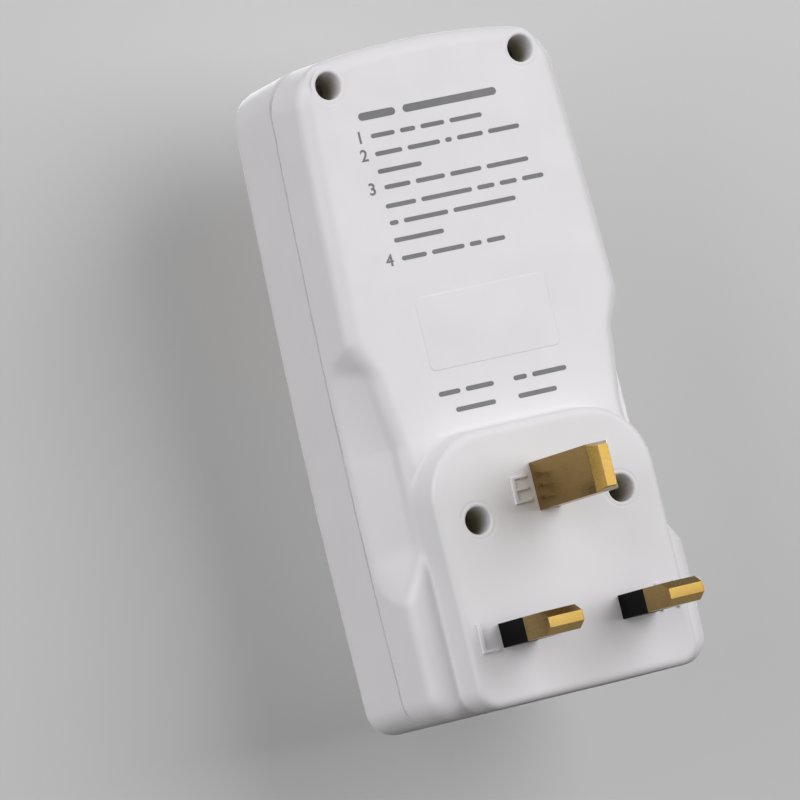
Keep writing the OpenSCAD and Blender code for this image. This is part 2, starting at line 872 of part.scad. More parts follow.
module earth_pin() {
    top_bevel = 0.5;
    color(pin_brass) {
        intersection() {
            translate([0, 0, earth_rise - earth_h / 2])
                rotate([0, 0, 90])
                    mirror([0, 1, 0])
                        linear_extrude(height = earth_h)
                            blade_outline(earth_len, earth_w, earth_tail_y);
            prism_x(-earth_w, earth_w)
                polygon([
                    [earth_tail_y, earth_rise - earth_h / 2],
                    [earth_len - tip_run, earth_rise - earth_h / 2],
                    [earth_len, earth_rise - earth_h / 2 + top_bevel],
                    [earth_len, earth_rise + earth_h / 2 - top_bevel],
                    [earth_len - tip_run, earth_rise + earth_h / 2],
                    [earth_tail_y, earth_rise + earth_h / 2]
                ]);
        }
        pin_flange(earth_w, earth_h, 0, earth_rise);
    }
}

module pin_flange(w, h, x, z) {
    prism_y(plug_in - flange_t, plug_in)
        translate([x, z])
            square([w + 2 * flange_rim, h + 2 * flange_rim], center = true);
}

// Line pin, necked under its sleeve so that sleeve and pin are flush
module live_pin() {
    difference() {
        union() {
            prism_x(pin_x - live_w / 2, pin_x + live_w / 2)
                blade_outline(live_len, live_t, tail_y);
            pin_flange(live_w, live_t, pin_x, 0);
        }
        difference() {
            block([pin_x - live_w, pin_x + live_w], [plug_in, sleeve_len], [-live_t, live_t]);
            block([pin_x - live_w / 2 + sleeve_t, pin_x + live_w / 2 - sleeve_t],
                  [plug_in - overlap, sleeve_len + overlap], [-live_t / 2 + sleeve_t, live_t / 2 - sleeve_t]);
        }
    }
}

module live_sleeve() {
    prism_y(plug_in, sleeve_len)
        translate([pin_x, 0])
            difference() {
                square([live_w, live_t], center = true);
                square([live_w - 2 * sleeve_t, live_t - 2 * sleeve_t], center = true);
            }
}

module line_pin() {
    color(pin_brass)
        live_pin();
}

module neutral_pin() {
    color(pin_brass)
        mirror([1, 0, 0])
            live_pin();
}

module line_pin_sleeve() {
    color(sleeve_black)
        live_sleeve();
}

module neutral_pin_sleeve() {
    color(sleeve_black)
        mirror([1, 0, 0])
            live_sleeve();
}

// Insulating plate that clamps the pin flanges against the plug face
module pin_retainer() {
    back = plug_in - flange_t;
    half = plat_w / 2 - plat_draft - wall - 1;
    high = earth_rise + earth_h / 2 + flange_rim;
    color(insulator)
        difference() {
            block([-half, half], [back - retainer_t, back], [base_low, high]);
            pin_slot(earth_w, earth_h, 0, earth_rise);
            pin_slot(live_w, live_t, pin_x, 0);
            pin_slot(live_w, live_t, -pin_x, 0);
            for (side = [-1, 1])
                rod_y(side * lower_screw_x, lower_screw_z, back - 2 * retainer_t, back + overlap,
                      tube_d + 2 * snug_gap);
            corner = plat_corner_r - wall - 1;
            both_sides()
                difference() {
                    block([half - corner, half + 1], [back - 2 * retainer_t, back + 1],
                          [high - corner, high + 1]);
                    rod_y(half - corner, high - corner, back - 3 * retainer_t, back + 2, 2 * corner);
                }
        }
}

module pin_slot(w, h, x, z) {
    prism_y(plug_in - flange_t - 2 * retainer_t, plug_in)
        translate([x, z])
            square([w + 2 * run_gap, h + 2 * run_gap], center = true);
}

// Insulating block with a pocket for each contact, and a ledge for the shutter spring
module socket_base() {
    pocket_gap = 0.5;
    live_pocket_w = live_w + 2 * pocket_gap + 0.6;
    live_pocket_h = clip_gap + 2 * (clip_t + clip_flare + pocket_gap);
    earth_pocket_w = clip_gap + 2 * (clip_t + clip_flare + pocket_gap);
    earth_pocket_h = earth_h + 2 * pocket_gap + 0.6;
    color(insulator) {
        difference() {
            block([-base_half, base_half], [base_front, base_back], [base_low, base_high]);
            both_sides() {
                block([pin_x - live_pocket_w / 2, pin_x + live_pocket_w / 2],
                      [base_front - 1, base_back + 1], [-live_pocket_h / 2, live_pocket_h / 2]);
                block([pin_x - 1, base_half + 1], [clip_back - clip_t - pocket_gap, base_back + 1],
                      [-live_pocket_h / 2, live_pocket_h / 2]);
                rod_y(lower_screw_x, lower_screw_z, base_front - 1, base_back + 1,
                      max(boss_d, tube_d) + 2 * slide_gap);
            }
            block([-earth_pocket_w / 2, earth_pocket_w / 2], [base_front - 1, base_back + 1],
                  [earth_rise - earth_pocket_h / 2, earth_rise + earth_pocket_h / 2]);
            block([-lug_half - slide_gap, lug_half + slide_gap], [base_front - 1, lug_back + slide_gap],
                  [lug_low - shutter_travel - slide_gap, earth_rise + earth_pocket_h / 2]);
        }
        block([-fork_half + 2 + slide_gap, fork_half - 2 - slide_gap],
              [shutter_front + 0.4, base_front + overlap], [ledge_low, ledge_low + ledge_t]);
    }
}

// Two-leaf contact with flared lips, drawn in Y and across the leaves
module clip_outline(mouth, back) {
    g = clip_gap / 2;
    lip = mouth + 1.6;
    half = [
        [mouth, g + clip_flare], [mouth, g + clip_flare + clip_t], [lip, g + clip_t], [back, g + clip_t]
    ];
    inner = [[back - clip_t, g], [lip, g]];
    polygon(concat(
        half,
        [for (p = reversed(half)) [p[0], -p[1]]],
        [for (p = reversed(inner)) [p[0], -p[1]]],
        inner
    ));
}

module earth_clip() {
    color(pin_brass)
        translate([0, 0, earth_rise - earth_h / 2])
            rotate([0, 0, 90])
                mirror([0, 1, 0])
                    linear_extrude(height = earth_h)
                        clip_outline(lug_back + slide_gap + 0.4, earth_tail_y);
}

clip_tail = 3;
module live_clip() {
    prism_x(pin_x - live_w / 2 - 0.3, pin_x + live_w / 2 + 0.3)
        clip_outline(clip_mouth, clip_back);
    block([pin_x, pin_x + live_w / 2 + clip_tail], [clip_back - clip_t, clip_back],
          [-strap_w / 2, strap_w / 2]);
}

module line_clip() {
    color(pin_brass)
        live_clip();
}

module neutral_clip() {
    color(pin_brass)
        mirror([1, 0, 0])
            live_clip();
}

// Sliding shutter: bar over the line and neutral apertures, fork and ramp behind the earth aperture
module shutter() {
    color(shell_white) {
        block([-shutter_w / 2, shutter_w / 2], [shutter_front, shutter_back],
              [-shutter_half_h, shutter_half_h]);
        both_sides()
            block([fork_half - 2, fork_half], [shutter_front, shutter_back],
                  [0, earth_rise + earth_h / 2]);
        prism_x(-lug_half, lug_half)
            polygon([
                [shutter_front, lug_low], [lug_back, lug_low],
                [lug_back, ramp_high], [shutter_front, ramp_low]
            ]);
        block([-fork_half + 0.5, fork_half - 0.5], [shutter_front, shutter_back],
              [lug_low, ramp_low - 1]);
    }
}

module shutter_spring() {
    color(spring_steel)
        spring_z(0, (shutter_front + shutter_back) / 2, ledge_low + ledge_t, lug_low, 2.3, 0.45, 4);
}

// Strap from a pin tail up to a fixed contact, passing through the sensing core
module feed_strap(side, lift) {
    foot_back = tail_y;
    foot_front = tail_y - strap_t;
    inner = core_x + side * core_strap_in;
    outer = core_x + side * (core_strap_in + strap_w);
    core_lo = min(inner, outer);
    core_hi = max(inner, outer);
    riser_lo = min(side * riser_in, side * riser_out);
    riser_hi = max(side * riser_in, side * riser_out);
    pole = core_x + side * pole_x;
    through = [core_y - strap_t / 2, core_y + strap_t / 2];
    tab_z = button_z - tip_z;
    turn_z = core_z + core_h + 2 * winding_t + 1.2;
    jog = [jog_z + lift, jog_z + lift + jog_h];
    color(copper) {
        block([min(side * riser_in, side * (pin_x + live_w / 2)),
               max(side * riser_in, side * (pin_x + live_w / 2))],
              [foot_front, foot_back], [-live_t / 2, live_t / 2]);
        block([riser_lo, riser_hi], [foot_front, foot_back], [-live_t / 2, jog[0] + strap_t]);
        block([riser_lo, riser_hi], [through[0], foot_back], [jog[0], jog[0] + strap_t]);
        block([min(riser_lo, core_lo), max(riser_hi, core_hi)], through, jog);
        block([core_lo, core_hi], through, [jog[0], turn_z + strap_t]);
        block([core_lo, core_hi], [strap_front, through[1]], [turn_z, turn_z + strap_t]);
        block([min(core_lo, pole - strap_w / 2), max(core_hi, pole + strap_w / 2)],
              [strap_front, strap_back], [turn_z, turn_z + jog_h]);
        block([pole - strap_w / 2, pole + strap_w / 2], [strap_front, strap_back],
              [turn_z, tab_z + tip_d / 2 + 0.3]);
        rod_y(pole, tab_z, strap_back - 0.1, fixed_face, tip_d);
    }
}

module line_feed_strap() {
    feed_strap(1, jog_h + 0.5);
}

module neutral_feed_strap() {
    feed_strap(-1, 0);
}

// Strap from an upper fixed contact along the side wall and down to a socket contact
module load_strap(side) {
    pole = reset_x + side * pole_x;
    tab_z = button_z + tip_z;
    run = [tab_z - tip_d / 2 - 0.3, tab_z + tip_d / 2 + 0.3];
    edge_out = hollow_half(run[1]) - snug_gap;
    edge_in = edge_out - strap_t;
    foot_in = pin_x + live_w / 2 + 0.6;
    color(copper) {
        block([min(pole - strap_w / 2, side * edge_out), max(pole + strap_w / 2, side * edge_out)],
              [strap_front, strap_back], run);
        rod_y(pole, tab_z, strap_back - 0.1, fixed_face, tip_d);
        block([min(side * edge_in, side * edge_out), max(side * edge_in, side * edge_out)],
              [strap_front, strap_front + strap_w], [-strap_w / 2, run[1]]);
        block([min(side * edge_in, side * edge_out), max(side * edge_in, side * edge_out)],
              [strap_front, clip_back + strap_t], [-strap_w / 2, strap_w / 2]);
        block([min(side * foot_in, side * edge_out), max(side * foot_in, side * edge_out)],
              [clip_back, clip_back + strap_t], [-strap_w / 2, strap_w / 2]);
    }
}

module line_load_strap() {
    load_strap(1);
}

module neutral_load_strap() {
    load_strap(-1);
}

// Ring core that senses a difference between the two straps
module sensing_core() {
    color([0.3, 0.3, 0.32])
        translate([core_x, core_y, core_z])
            rotate_extrude()
                translate([core_hole / 2 + winding_t, 0])
                    square([(core_d - core_hole) / 2 - winding_t, core_h]);
}

module sensing_winding() {
    band = (core_d - core_hole) / 2 - winding_t;
    color(copper)
        translate([core_x, core_y, core_z])
            rotate_extrude()
                translate([core_hole / 2, -winding_t])
                    difference() {
                        square([band + 2 * winding_t, core_h + 2 * winding_t]);
                        translate([winding_t, winding_t])
                            square([band, core_h]);
                    }
}

// Circuit board on the rear posts
module circuit_board() {
    peg_hole = 2.3;
    color([0.12, 0.4, 0.2])
        difference() {
            block([-board_half, board_half], [board_front, board_back], [board_low, board_high]);
            for (x = [-1, 1])
                for (z = [board_low + 3.4, board_high - 5.4])
                    rod_y(x * (board_half - 2.4), z, board_front - 1, board_back + 1, peg_hole);
        }
}

// Control chip, at [x, z] of its lower left corner
chip_at = [across(0.19), up(0.25)];
chip_size = [5, 1.8, 4];
module control_chip() {
    color([0.1, 0.1, 0.1])
        translate([chip_at[0], board_front - chip_size[1], chip_at[1]])
            cube(chip_size);
}

// Surge-absorbing disc standing on edge
varistor_at = [across(0.492), up(0.22)];
varistor_d = 9.6;
varistor_t = 4;
module varistor() {
    color([0.2, 0.35, 0.6])
        rod_x(board_front - varistor_d / 2 - snug_gap, varistor_at[1],
              varistor_at[0], varistor_at[0] + varistor_t, varistor_d);
}

capacitor_at = [across(0.303), up(0.176)];
capacitor_d = 5.5;
capacitor_h = 9;
module capacitor() {
    color([0.2, 0.2, 0.25])
        rod_y(capacitor_at[0], capacitor_at[1], board_front - capacitor_h, board_front, capacitor_d);
}

// Resistor lying along the board
resistor_at = [across(0.663), up(0.323)];
resistor_d = 3;
resistor_len = 8;
module test_resistor() {
    color([0.75, 0.65, 0.5])
        rod_z(resistor_at[0], board_front - resistor_d / 2 - snug_gap,
              resistor_at[1], resistor_at[1] + resistor_len, resistor_d);
}

// Half-round switching device that fires the trip coil
thyristor_at = [across(0.644), up(0.683)];
thyristor_d = 4.8;
thyristor_h = 5;
thyristor_flat = 1.5;
module thyristor() {
    color([0.1, 0.1, 0.1])
        difference() {
            rod_y(thyristor_at[0], thyristor_at[1], board_front - thyristor_h, board_front, thyristor_d);
            translate([0, 0, thyristor_at[1] + thyristor_flat])
                block([thyristor_at[0] - thyristor_d, thyristor_at[0] + thyristor_d],
                      [board_front - thyristor_h - 1, board_front + 1], [0, thyristor_d]);
        }
}

// Moulded frame: cheeks that guide the carrier, and a deck that carries contacts and button springs
module mechanism_frame() {
    deck_half_h = 1.22 * tip_z;
    test_half = 5.5;
    leg_t = 1.4;
    low = button_z - deck_half_h;
    high = button_z + deck_half_h;
    stop_w = 1.6;
    color(insulator)
        difference() {
            union() {
                block([reset_x - cheek_out, reset_x + cheek_out], [deck_front, deck_back], [low, high]);
                for (side = [-1, 1])
                    block([reset_x + side * (cheek_in + cheek_t / 2) - cheek_t / 2,
                           reset_x + side * (cheek_in + cheek_t / 2) + cheek_t / 2],
                          [deck_front, board_front],
                          [button_z - carrier_half_h - 1, button_z + carrier_half_h + 1]);
                for (side = [-1, 1])
                    block([reset_x + side * (cheek_in - stop_w / 2 + overlap) - stop_w / 2,
                           reset_x + side * (cheek_in - stop_w / 2 + overlap) + stop_w / 2],
                          [carrier_back + run_gap, board_front],
                          [button_z - carrier_half_h, button_z + carrier_half_h]);
                block([reset_x + cheek_in, test_x + test_half], [deck_front, deck_back],
                      [button_z - test_half, button_z + test_half]);
                block([test_x + test_half - leg_t, test_x + test_half], [deck_front, board_front],
                      [button_z - test_half, button_z + test_half]);
            }
            rod_y(reset_x, button_z, deck_front - 1, deck_back + 1, stem_d + 2 * slide_gap);
            rod_y(test_x, button_z, deck_front - 1, deck_back + 1, stem_d - 1 + 2 * slide_gap);
            block([arm_x - arm_t - slide_gap, arm_x + slide_gap], [deck_front - 1, deck_back + 1],
                  [button_z + 2, high + 1]);
        }
}

// Carrier that lifts both bridges to their contacts, with an arm that turns the flag
module contact_carrier() {
    crank_z = window_z - crank_r;
    arm_low = button_z + 2.4;
    slot = crank_d + 2 * slide_gap;
    color([0.85, 0.83, 0.78])
        difference() {
            union() {
                block([reset_x - carrier_half, reset_x + carrier_half], [carrier_front, carrier_back],
                      [button_z - carrier_half_h, button_z + carrier_half_h]);
                block([arm_x - arm_t, arm_x], [flag_y - 2, carrier_back], [arm_low, button_z + carrier_half_h]);
                block([arm_x - arm_t, arm_x], [flag_y - 2, flag_y + 2],
                      [arm_low, crank_z + 1.4]);
            }
            rod_y(reset_x, button_z, carrier_front - 1, carrier_back + 1, stem_d + 2 * slide_gap);
            block([arm_x - arm_t - 1, arm_x + 1], [flag_y - slot / 2, flag_y + slot / 2],
                  [crank_z - 1.2, crank_z + 2]);
        }
}

// Bar with a contact tip at each end
module bridge(side) {
    x = reset_x + side * pole_x;
    reach = tip_z + tip_d / 2 + 0.3;
    color(copper) {
        block([x - bridge_w / 2, x + bridge_w / 2], [bridge_front, carrier_front],
              [button_z - reach, button_z + reach]);
        for (z = [-1, 1])
            rod_y(x, button_z + z * tip_z, tip_face, bridge_front + 0.1, tip_d);
    }
}

module line_bridge() {
    bridge(1);
}

module neutral_bridge() {
    bridge(-1);
}

// Sliding plate that catches the stem of the reset button
module latch_plate() {
    slot = stem_d + 2 * slide_gap;
    tab_front = deck_back + contact_travel + slide_gap;
    color(spring_steel) {
        difference() {
            block([reset_x - latch_half, reset_x + latch_half], [carrier_front - latch_t, carrier_front],
                  [button_z - 4.4, latch_top]);
            rod_y(reset_x, button_z, carrier_front - 2, carrier_front + 1, slot);
            rod_y(reset_x, button_z + trip_travel, carrier_front - 2, carrier_front + 1, slot);
            block([reset_x - slot / 2, reset_x + slot / 2], [carrier_front - 2, carrier_front + 1],
                  [button_z, button_z + trip_travel]);
        }
        block([coil_x - 1.6, coil_x + 1.6], [tab_front, carrier_front], [latch_top - 0.8, latch_top]);
    }
}

module opening_springs() {
    color(spring_steel)
        for (side = [-1, 1])
            spring_y(reset_x + side * spring_x, button_z, deck_back, carrier_front, 2.4, 0.4, 5);
}

// Trip coil: bobbin, winding and steel yoke
module coil_bobbin() {
    flange = 1;
    tube = plunger_bore + 1.4;
    color([0.15, 0.15, 0.15])
        translate([coil_x, coil_y, coil_low])
            difference() {
                union() {
                    cylinder(d = tube, h = coil_len);
                    cylinder(d = coil_d, h = flange);
                    translate([0, 0, coil_len - flange])
                        cylinder(d = coil_d, h = flange);
                }
                translate([0, 0, -1])
                    cylinder(d = plunger_bore, h = coil_len + 2);
            }
}

module coil_winding() {
    flange = 1;
    color(copper)
        translate([coil_x, coil_y, coil_low + flange])
            difference() {
                cylinder(d = coil_d - 0.8, h = coil_len - 2 * flange);
                translate([0, 0, -1])
                    cylinder(d = plunger_bore + 1.4, h = coil_len);
            }
}

module coil_yoke() {
    half = coil_d / 2;
    front = coil_y - half;
    color(screw_steel)
        difference() {
            union() {
                for (z = [yoke_low, coil_high])
                    block([coil_x - half, coil_x + half], [front, board_front], [z, z + yoke_t]);
                block([coil_x - half, coil_x + half], [board_front - yoke_t, board_front],
                      [yoke_low, coil_high + yoke_t]);
            }
            rod_z(coil_x, coil_y, yoke_low - 1, coil_high + yoke_t + 1, plunger_bore);
        }
}

// Plunger that strikes the latch plate
module trip_plunger() {
    head_d = 6;
    color(spring_steel) {
        rod_z(coil_x, coil_y, plunger_tip, coil_low, 3);
        rod_z(coil_x, coil_y, coil_low - 0.4, plunger_top, plunger_d);
        rod_z(coil_x, coil_y, plunger_top - 1, plunger_top, head_d);
    }
}

module plunger_spring() {
    color(spring_steel)
        spring_z(coil_x, coil_y, coil_high + yoke_t, plunger_top - 1, 5.6, 0.5, 4);
}

// Push button: cap with a dished face, retaining flange and stem
module button(x, w, stem, stem_end) {
    dish_r = 30;
    dish = 0.5;
    difference() {
        prism_y(button_face, flange_front + overlap)
            translate([x, button_z])
                round_rect(w, button_h, button_corner);
        translate([x, button_face - dish_r + dish, button_z])
            sphere(r = dish_r, $fn = 96);
    }
    prism_y(flange_front, flange_back)
        translate([x, button_z])
            round_rect(w + 2 * button_rim, button_h + 2 * button_rim, button_corner);
    rod_y(x, button_z, flange_back - overlap, stem_end, stem);
}

module reset_button() {
    color([0.2, 0.55, 0.3])
        button(reset_x, reset_w, stem_d, board_front - reset_travel - 0.8);
}

module reset_spring() {
    color(spring_steel)
        spring_y(reset_x, button_z, flange_back, deck_front, stem_d + 3.6, 0.6, 4);
}

module test_button() {
    color([0.9, 0.75, 0.2])
        button(test_x, test_w, stem_d - 1, board_front - test_travel - 2);
}

module test_spring() {
    color(spring_steel)
        spring_y(test_x, button_z, flange_back, deck_front, stem_d + 2.4, 0.5, 4);
}

// Springy strip under the stem of the test button
module test_leaf() {
    leaf_t = 0.4;
    color(pin_brass)
        prism_x(test_x - 2, test_x + 2)
            polygon([
                [board_front, button_z - 8], [board_front, button_z - 5],
                [board_front - leaf_t, button_z - 5], [board_front - 1.5, button_z - 2],
                [board_front - 1.5, button_z + 2], [board_front - 1.5 - leaf_t, button_z + 2],
                [board_front - 1.5 - leaf_t, button_z - 2.2], [board_front - 2 * leaf_t, button_z - 5.4],
                [board_front - leaf_t, button_z - 6], [board_front - leaf_t, button_z - 8]
            ]);
}

// Orange flag that turns into the window as the contacts close
module indicator_flag() {
    hub_d = 3.8;
    vane_t = 0.9;
    vane_half = 19;
    vane_mid = flag_turn + 2;
    color([0.95, 0.45, 0.1])
        translate([0, flag_y, window_z]) {
            difference() {
                union() {
                    rod_x(0, 0, -flag_half, flag_half, hub_d);
                    prism_x(-flag_half, flag_half)
                        polygon(concat(
                            arc([0, 0], flag_r, 180 + vane_mid - vane_half, 180 + vane_mid + vane_half, 6),
                            arc([0, 0], flag_r - vane_t, 180 + vane_mid + vane_half, 180 + vane_mid - vane_half, 6)
                        ));
                    for (side = [-1, 1])
                        prism_x(side * (flag_half - 0.4) - 0.4, side * (flag_half - 0.4) + 0.4)
                            polygon(concat(
                                [[0, 0]],
                                arc([0, 0], flag_r - vane_t / 2, 180 + vane_mid - vane_half,
                                    180 + vane_mid + vane_half, 6)
                            ));
                    prism_x(-flag_half, -flag_half + 1.2)
                        translate([-hub_d / 4, -crank_r])
                            square([hub_d / 2, crank_r]);
                    rod_x(0, -crank_r, -flag_half, arm_x + 0.3, crank_d);
                }
                rod_x(0, 0, -flag_half - 1, flag_half + 1, pivot_d + 2 * run_gap);
            }
        }
}

module flag_pivot() {
    color(spring_steel)
        rod_x(flag_y, window_z, -ear_in - ear_t, ear_in + ear_t, pivot_d);
}

// Clear pane in the control panel
module indicator_window() {
    lip = 0.8;
    lip_t = 0.4;
    color([0.85, 0.9, 0.92, 0.5]) {
        prism_y(panel_y, front_in + lip_t)
            translate([0, window_z])
                square([window_w, window_h], center = true);
        prism_y(front_in, front_in + lip_t)
            translate([0, window_z])
                square([window_w, window_h + 2 * lip], center = true);
    }
}

rear_shell();
front_shell();
housing_screws();
earth_pin();
line_pin();
neutral_pin();
line_pin_sleeve();
neutral_pin_sleeve();
pin_retainer();
socket_base();
earth_clip();
line_clip();
neutral_clip();
shutter();
shutter_spring();
line_feed_strap();
neutral_feed_strap();
line_load_strap();
neutral_load_strap();
sensing_core();
sensing_winding();
circuit_board();
control_chip();
varistor();
capacitor();
test_resistor();
thyristor();
mechanism_frame();
contact_carrier();
line_bridge();
neutral_bridge();
latch_plate();
opening_springs();
coil_bobbin();
coil_winding();
coil_yoke();
trip_plunger();
plunger_spring();
reset_button();
reset_spring();
test_button();
test_spring();
test_leaf();
indicator_flag();
flag_pivot();
indicator_window();
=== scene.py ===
"""Looks of a plug-through residual-current adapter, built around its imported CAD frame.

Lengths are in millimetres in the frame of the CAD model, and MM turns them into metres.
The origin is on the plug face, +Y runs out along the pins, +Z up, +X towards the line pin.
"""

import itertools
import json
import math

import bpy
import numpy as np
from mathutils import Matrix, Vector


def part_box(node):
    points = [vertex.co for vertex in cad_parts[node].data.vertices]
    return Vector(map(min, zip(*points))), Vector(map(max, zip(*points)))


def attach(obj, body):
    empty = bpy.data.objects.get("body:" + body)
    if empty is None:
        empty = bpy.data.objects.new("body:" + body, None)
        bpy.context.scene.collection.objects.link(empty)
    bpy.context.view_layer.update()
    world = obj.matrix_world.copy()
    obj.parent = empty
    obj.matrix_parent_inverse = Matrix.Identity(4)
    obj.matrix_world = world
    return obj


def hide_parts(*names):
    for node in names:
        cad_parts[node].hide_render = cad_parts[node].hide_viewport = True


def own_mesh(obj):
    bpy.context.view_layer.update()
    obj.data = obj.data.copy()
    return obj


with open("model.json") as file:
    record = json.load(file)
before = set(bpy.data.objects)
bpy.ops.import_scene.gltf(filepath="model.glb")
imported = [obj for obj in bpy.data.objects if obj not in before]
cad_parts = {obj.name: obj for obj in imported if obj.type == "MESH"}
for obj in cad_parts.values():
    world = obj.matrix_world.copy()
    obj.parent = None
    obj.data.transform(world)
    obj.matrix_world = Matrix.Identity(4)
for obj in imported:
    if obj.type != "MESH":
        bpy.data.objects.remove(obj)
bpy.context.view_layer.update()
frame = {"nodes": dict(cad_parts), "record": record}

MM = 0.001
HOUSING = "housing"
scene = bpy.context.scene
scene.view_settings.view_transform = "Standard"


def span(node, axis):
    """Lowest and highest value of a CAD node along one axis."""
    low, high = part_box(node)
    return low[axis] / MM, high[axis] / MM


# Places taken from the frame
HALF_W = span("rear_shell", 0)[1]
PART_Y = span("rear_shell", 1)[0]
BOTTOM_Z, TOP_Z = span("rear_shell", 2)
FRONT_Y = span("front_shell", 1)[0]
EARTH_Z = sum(span("earth_pin", 2)) / 2

# Form of the rear moulding
REAR_Y = -6.1
CROWN_R = 125
SIDE_R = 1435
WIDEST_Z = 10
TOP_CORNER_R = 6
BOTTOM_CORNER_R = 4.5
REAR_EDGE_R = 2.6
REAR_DRAFT = 0.5
WALL = 2.2
PART_GAP = 0.4
PART_REBATE = 0.35
GRIP_DEPTH = 4.7
GRIP_TAPER = 0.16
GRIP_LOW = 8.6
GRIP_HIGH = 51.7
GRIP_REACH = 7.9
GRIP_FADE = 5.9
GRIP_FADE_MIN = 2.5
GRIP_TIGHT = 0.5
GRIP_SWEEP = 0.3
GRIP_LIP = 1
GRIP_CREASE = 0.08
GRIP_EDGE_R = 2.2
GRIP_ARCH_MIN = 0.12
FADE_START = 0.1
FADE_END = 0.25
PLAT_HALF = 20.8
PLAT_TOP = 33.6
PLAT_CORNER_R = 11
PLAT_LOW_R = 3.6
PLAT_EDGE_R = 1.1
PLAT_DRAFT = 0.45
FOOT_FILLET = 0.6
FOOT_LEAST = 0.01
FOOT_FADE = 5
RECESS_R = 2.35
RECESS_MOUTH_R = 0.35
RECESS_WALL = 0.3
RECESS_LIP = 0.75
RECESS_IN = 0.1
LIP_RISE = 0.03
LIP_SINK = 0.02
LIP_ROUND = 0.4
LIP_STEPS = 7
LINING_FIT = 0.05
LINING_LIFT = 0.02
# Depths below a recess mouth over which the painted shade goes from white to its full tone
RECESS_SHADE_FROM = 0.6
RECESS_SHADE_TO = 5.5
TUBE_R = 3.8
SEAT_T = 1.6
UPPER_SCREW = (17.85, 93.2)
LOWER_SCREW = (13.3, 18.9)
PIN_FIT = 0.02
EARTH_SECTION = (3.97, 7.92)


# Small helpers for meshes
def new_mesh(name, verts, faces):
    """Object from lists of points in millimetres and faces."""
    mesh = bpy.data.meshes.new(name)
    mesh.from_pydata([tuple(c * MM for c in v) for v in verts], [], faces)
    mesh.update()
    obj = bpy.data.objects.new(name, mesh)
    scene.collection.objects.link(obj)
    return obj


def applied(obj):
    """Makes the result of an object's modifiers its own mesh."""
    graph = bpy.context.evaluated_depsgraph_get()
    mesh = bpy.data.meshes.new_from_object(obj.evaluated_get(graph))
    obj.modifiers.clear()
    obj.data = mesh
    return obj


def smooth(obj, angle=None):
    """Smooth shading, with edges above an angle kept crisp."""
    obj.data.polygons.foreach_set("use_smooth", [True] * len(obj.data.polygons))
    if angle is not None:
        obj.data.set_sharp_from_angle(angle=math.radians(angle))
    return obj


def dress(obj, material, body=HOUSING):
    """Gives a new piece its material and the body that it rides on."""
    obj.data.materials.clear()
    obj.data.materials.append(material)
    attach(obj, body)
    return obj


# Materials
def shader(name, base, roughness, metallic=0.0):
    """New material with its node tree, its main shader and its object coordinates."""
    material = bpy.data.materials.new(name)
    material.use_nodes = True
    tree = material.node_tree
    main = tree.nodes["Principled BSDF"]
    main.inputs["Base Color"].default_value = (*base, 1)
    main.inputs["Roughness"].default_value = roughness
    main.inputs["Metallic"].default_value = metallic
    place = tree.nodes.new("ShaderNodeTexCoord").outputs["Object"]
    return material, tree, main, place


def noise(tree, place, scale, detail=3.0, stretch=None):
    """Noise over the object, with a scale per metre and an optional stretch along its axes."""
    if stretch is not None:
        mapping = tree.nodes.new("ShaderNodeMapping")
        mapping.inputs["Scale"].default_value = stretch
        tree.links.new(place, mapping.inputs["Vector"])
        place = mapping.outputs["Vector"]
    node = tree.nodes.new("ShaderNodeTexNoise")
    node.inputs["Scale"].default_value = scale
    node.inputs["Detail"].default_value = detail
    tree.links.new(place, node.inputs["Vector"])
    return node.outputs["Fac"]


def ramp(tree, factor, low, high, at=(0.3, 0.7)):
    """Colour or grey ramp between two values."""
    node = tree.nodes.new("ShaderNodeValToRGB")
    for element, value, position in zip(node.color_ramp.elements, (low, high), at):
        element.color = (*value, 1) if isinstance(value, tuple) else (value, value, value, 1)
        element.position = position
    tree.links.new(factor, node.inputs["Fac"])
    return node.outputs["Color"]


def bump(tree, main, heights):
    """Chain of bumps, each (height output, strength, distance in millimetres)."""
    normal = None
    for height, strength, distance in heights:
        node = tree.nodes.new("ShaderNodeBump")
        node.inputs["Strength"].default_value = strength
        node.inputs["Distance"].default_value = distance * MM
        tree.links.new(height, node.inputs["Height"])
        if normal is not None:
            tree.links.new(normal, node.inputs["Normal"])
        normal = node.outputs["Normal"]
    tree.links.new(normal, main.inputs["Normal"])


def plastic(name, base, roughness, grain=0.25, tint=0.03, spread=0.06, shine=0.5):
    """Moulded plastic with a fine spark-eroded grain and slightly uneven tone and gloss."""
    material, tree, main, place = shader(name, base, roughness)
    main.inputs["Specular IOR Level"].default_value = shine
    tone = noise(tree, place, 90)
    darker = tuple(c * (1 - tint) for c in base)
    tree.links.new(ramp(tree, tone, darker, base), main.inputs["Base Color"])
    gloss = noise(tree, place, 240, 4)
    tree.links.new(ramp(tree, gloss, roughness - spread, roughness + spread), main.inputs["Roughness"])
    fine = noise(tree, place, 5200, 2)
    wave = noise(tree, place, 70, 1)
    bump(tree, main, [(wave, 0.35, 0.05), (fine, grain, 0.012)])
    return material


def metal(name, base, roughness, stretch, lines=0.3, tarnish=None):
    """Metal with machining lines along one axis, uneven gloss and some tarnish."""
    material, tree, main, place = shader(name, base, roughness, 1.0)
    cloud = noise(tree, place, 260, 6)
    dull = tarnish or tuple(c * 0.8 for c in base)
    tree.links.new(ramp(tree, cloud, dull, base, (0.25, 0.75)), main.inputs["Base Color"])
    scratch = noise(tree, place, 6000, 2, stretch)
    tree.links.new(ramp(tree, scratch, roughness - 0.05, roughness + 0.07), main.inputs["Roughness"])
    bump(tree, main, [(scratch, lines, 0.002)])
    return material


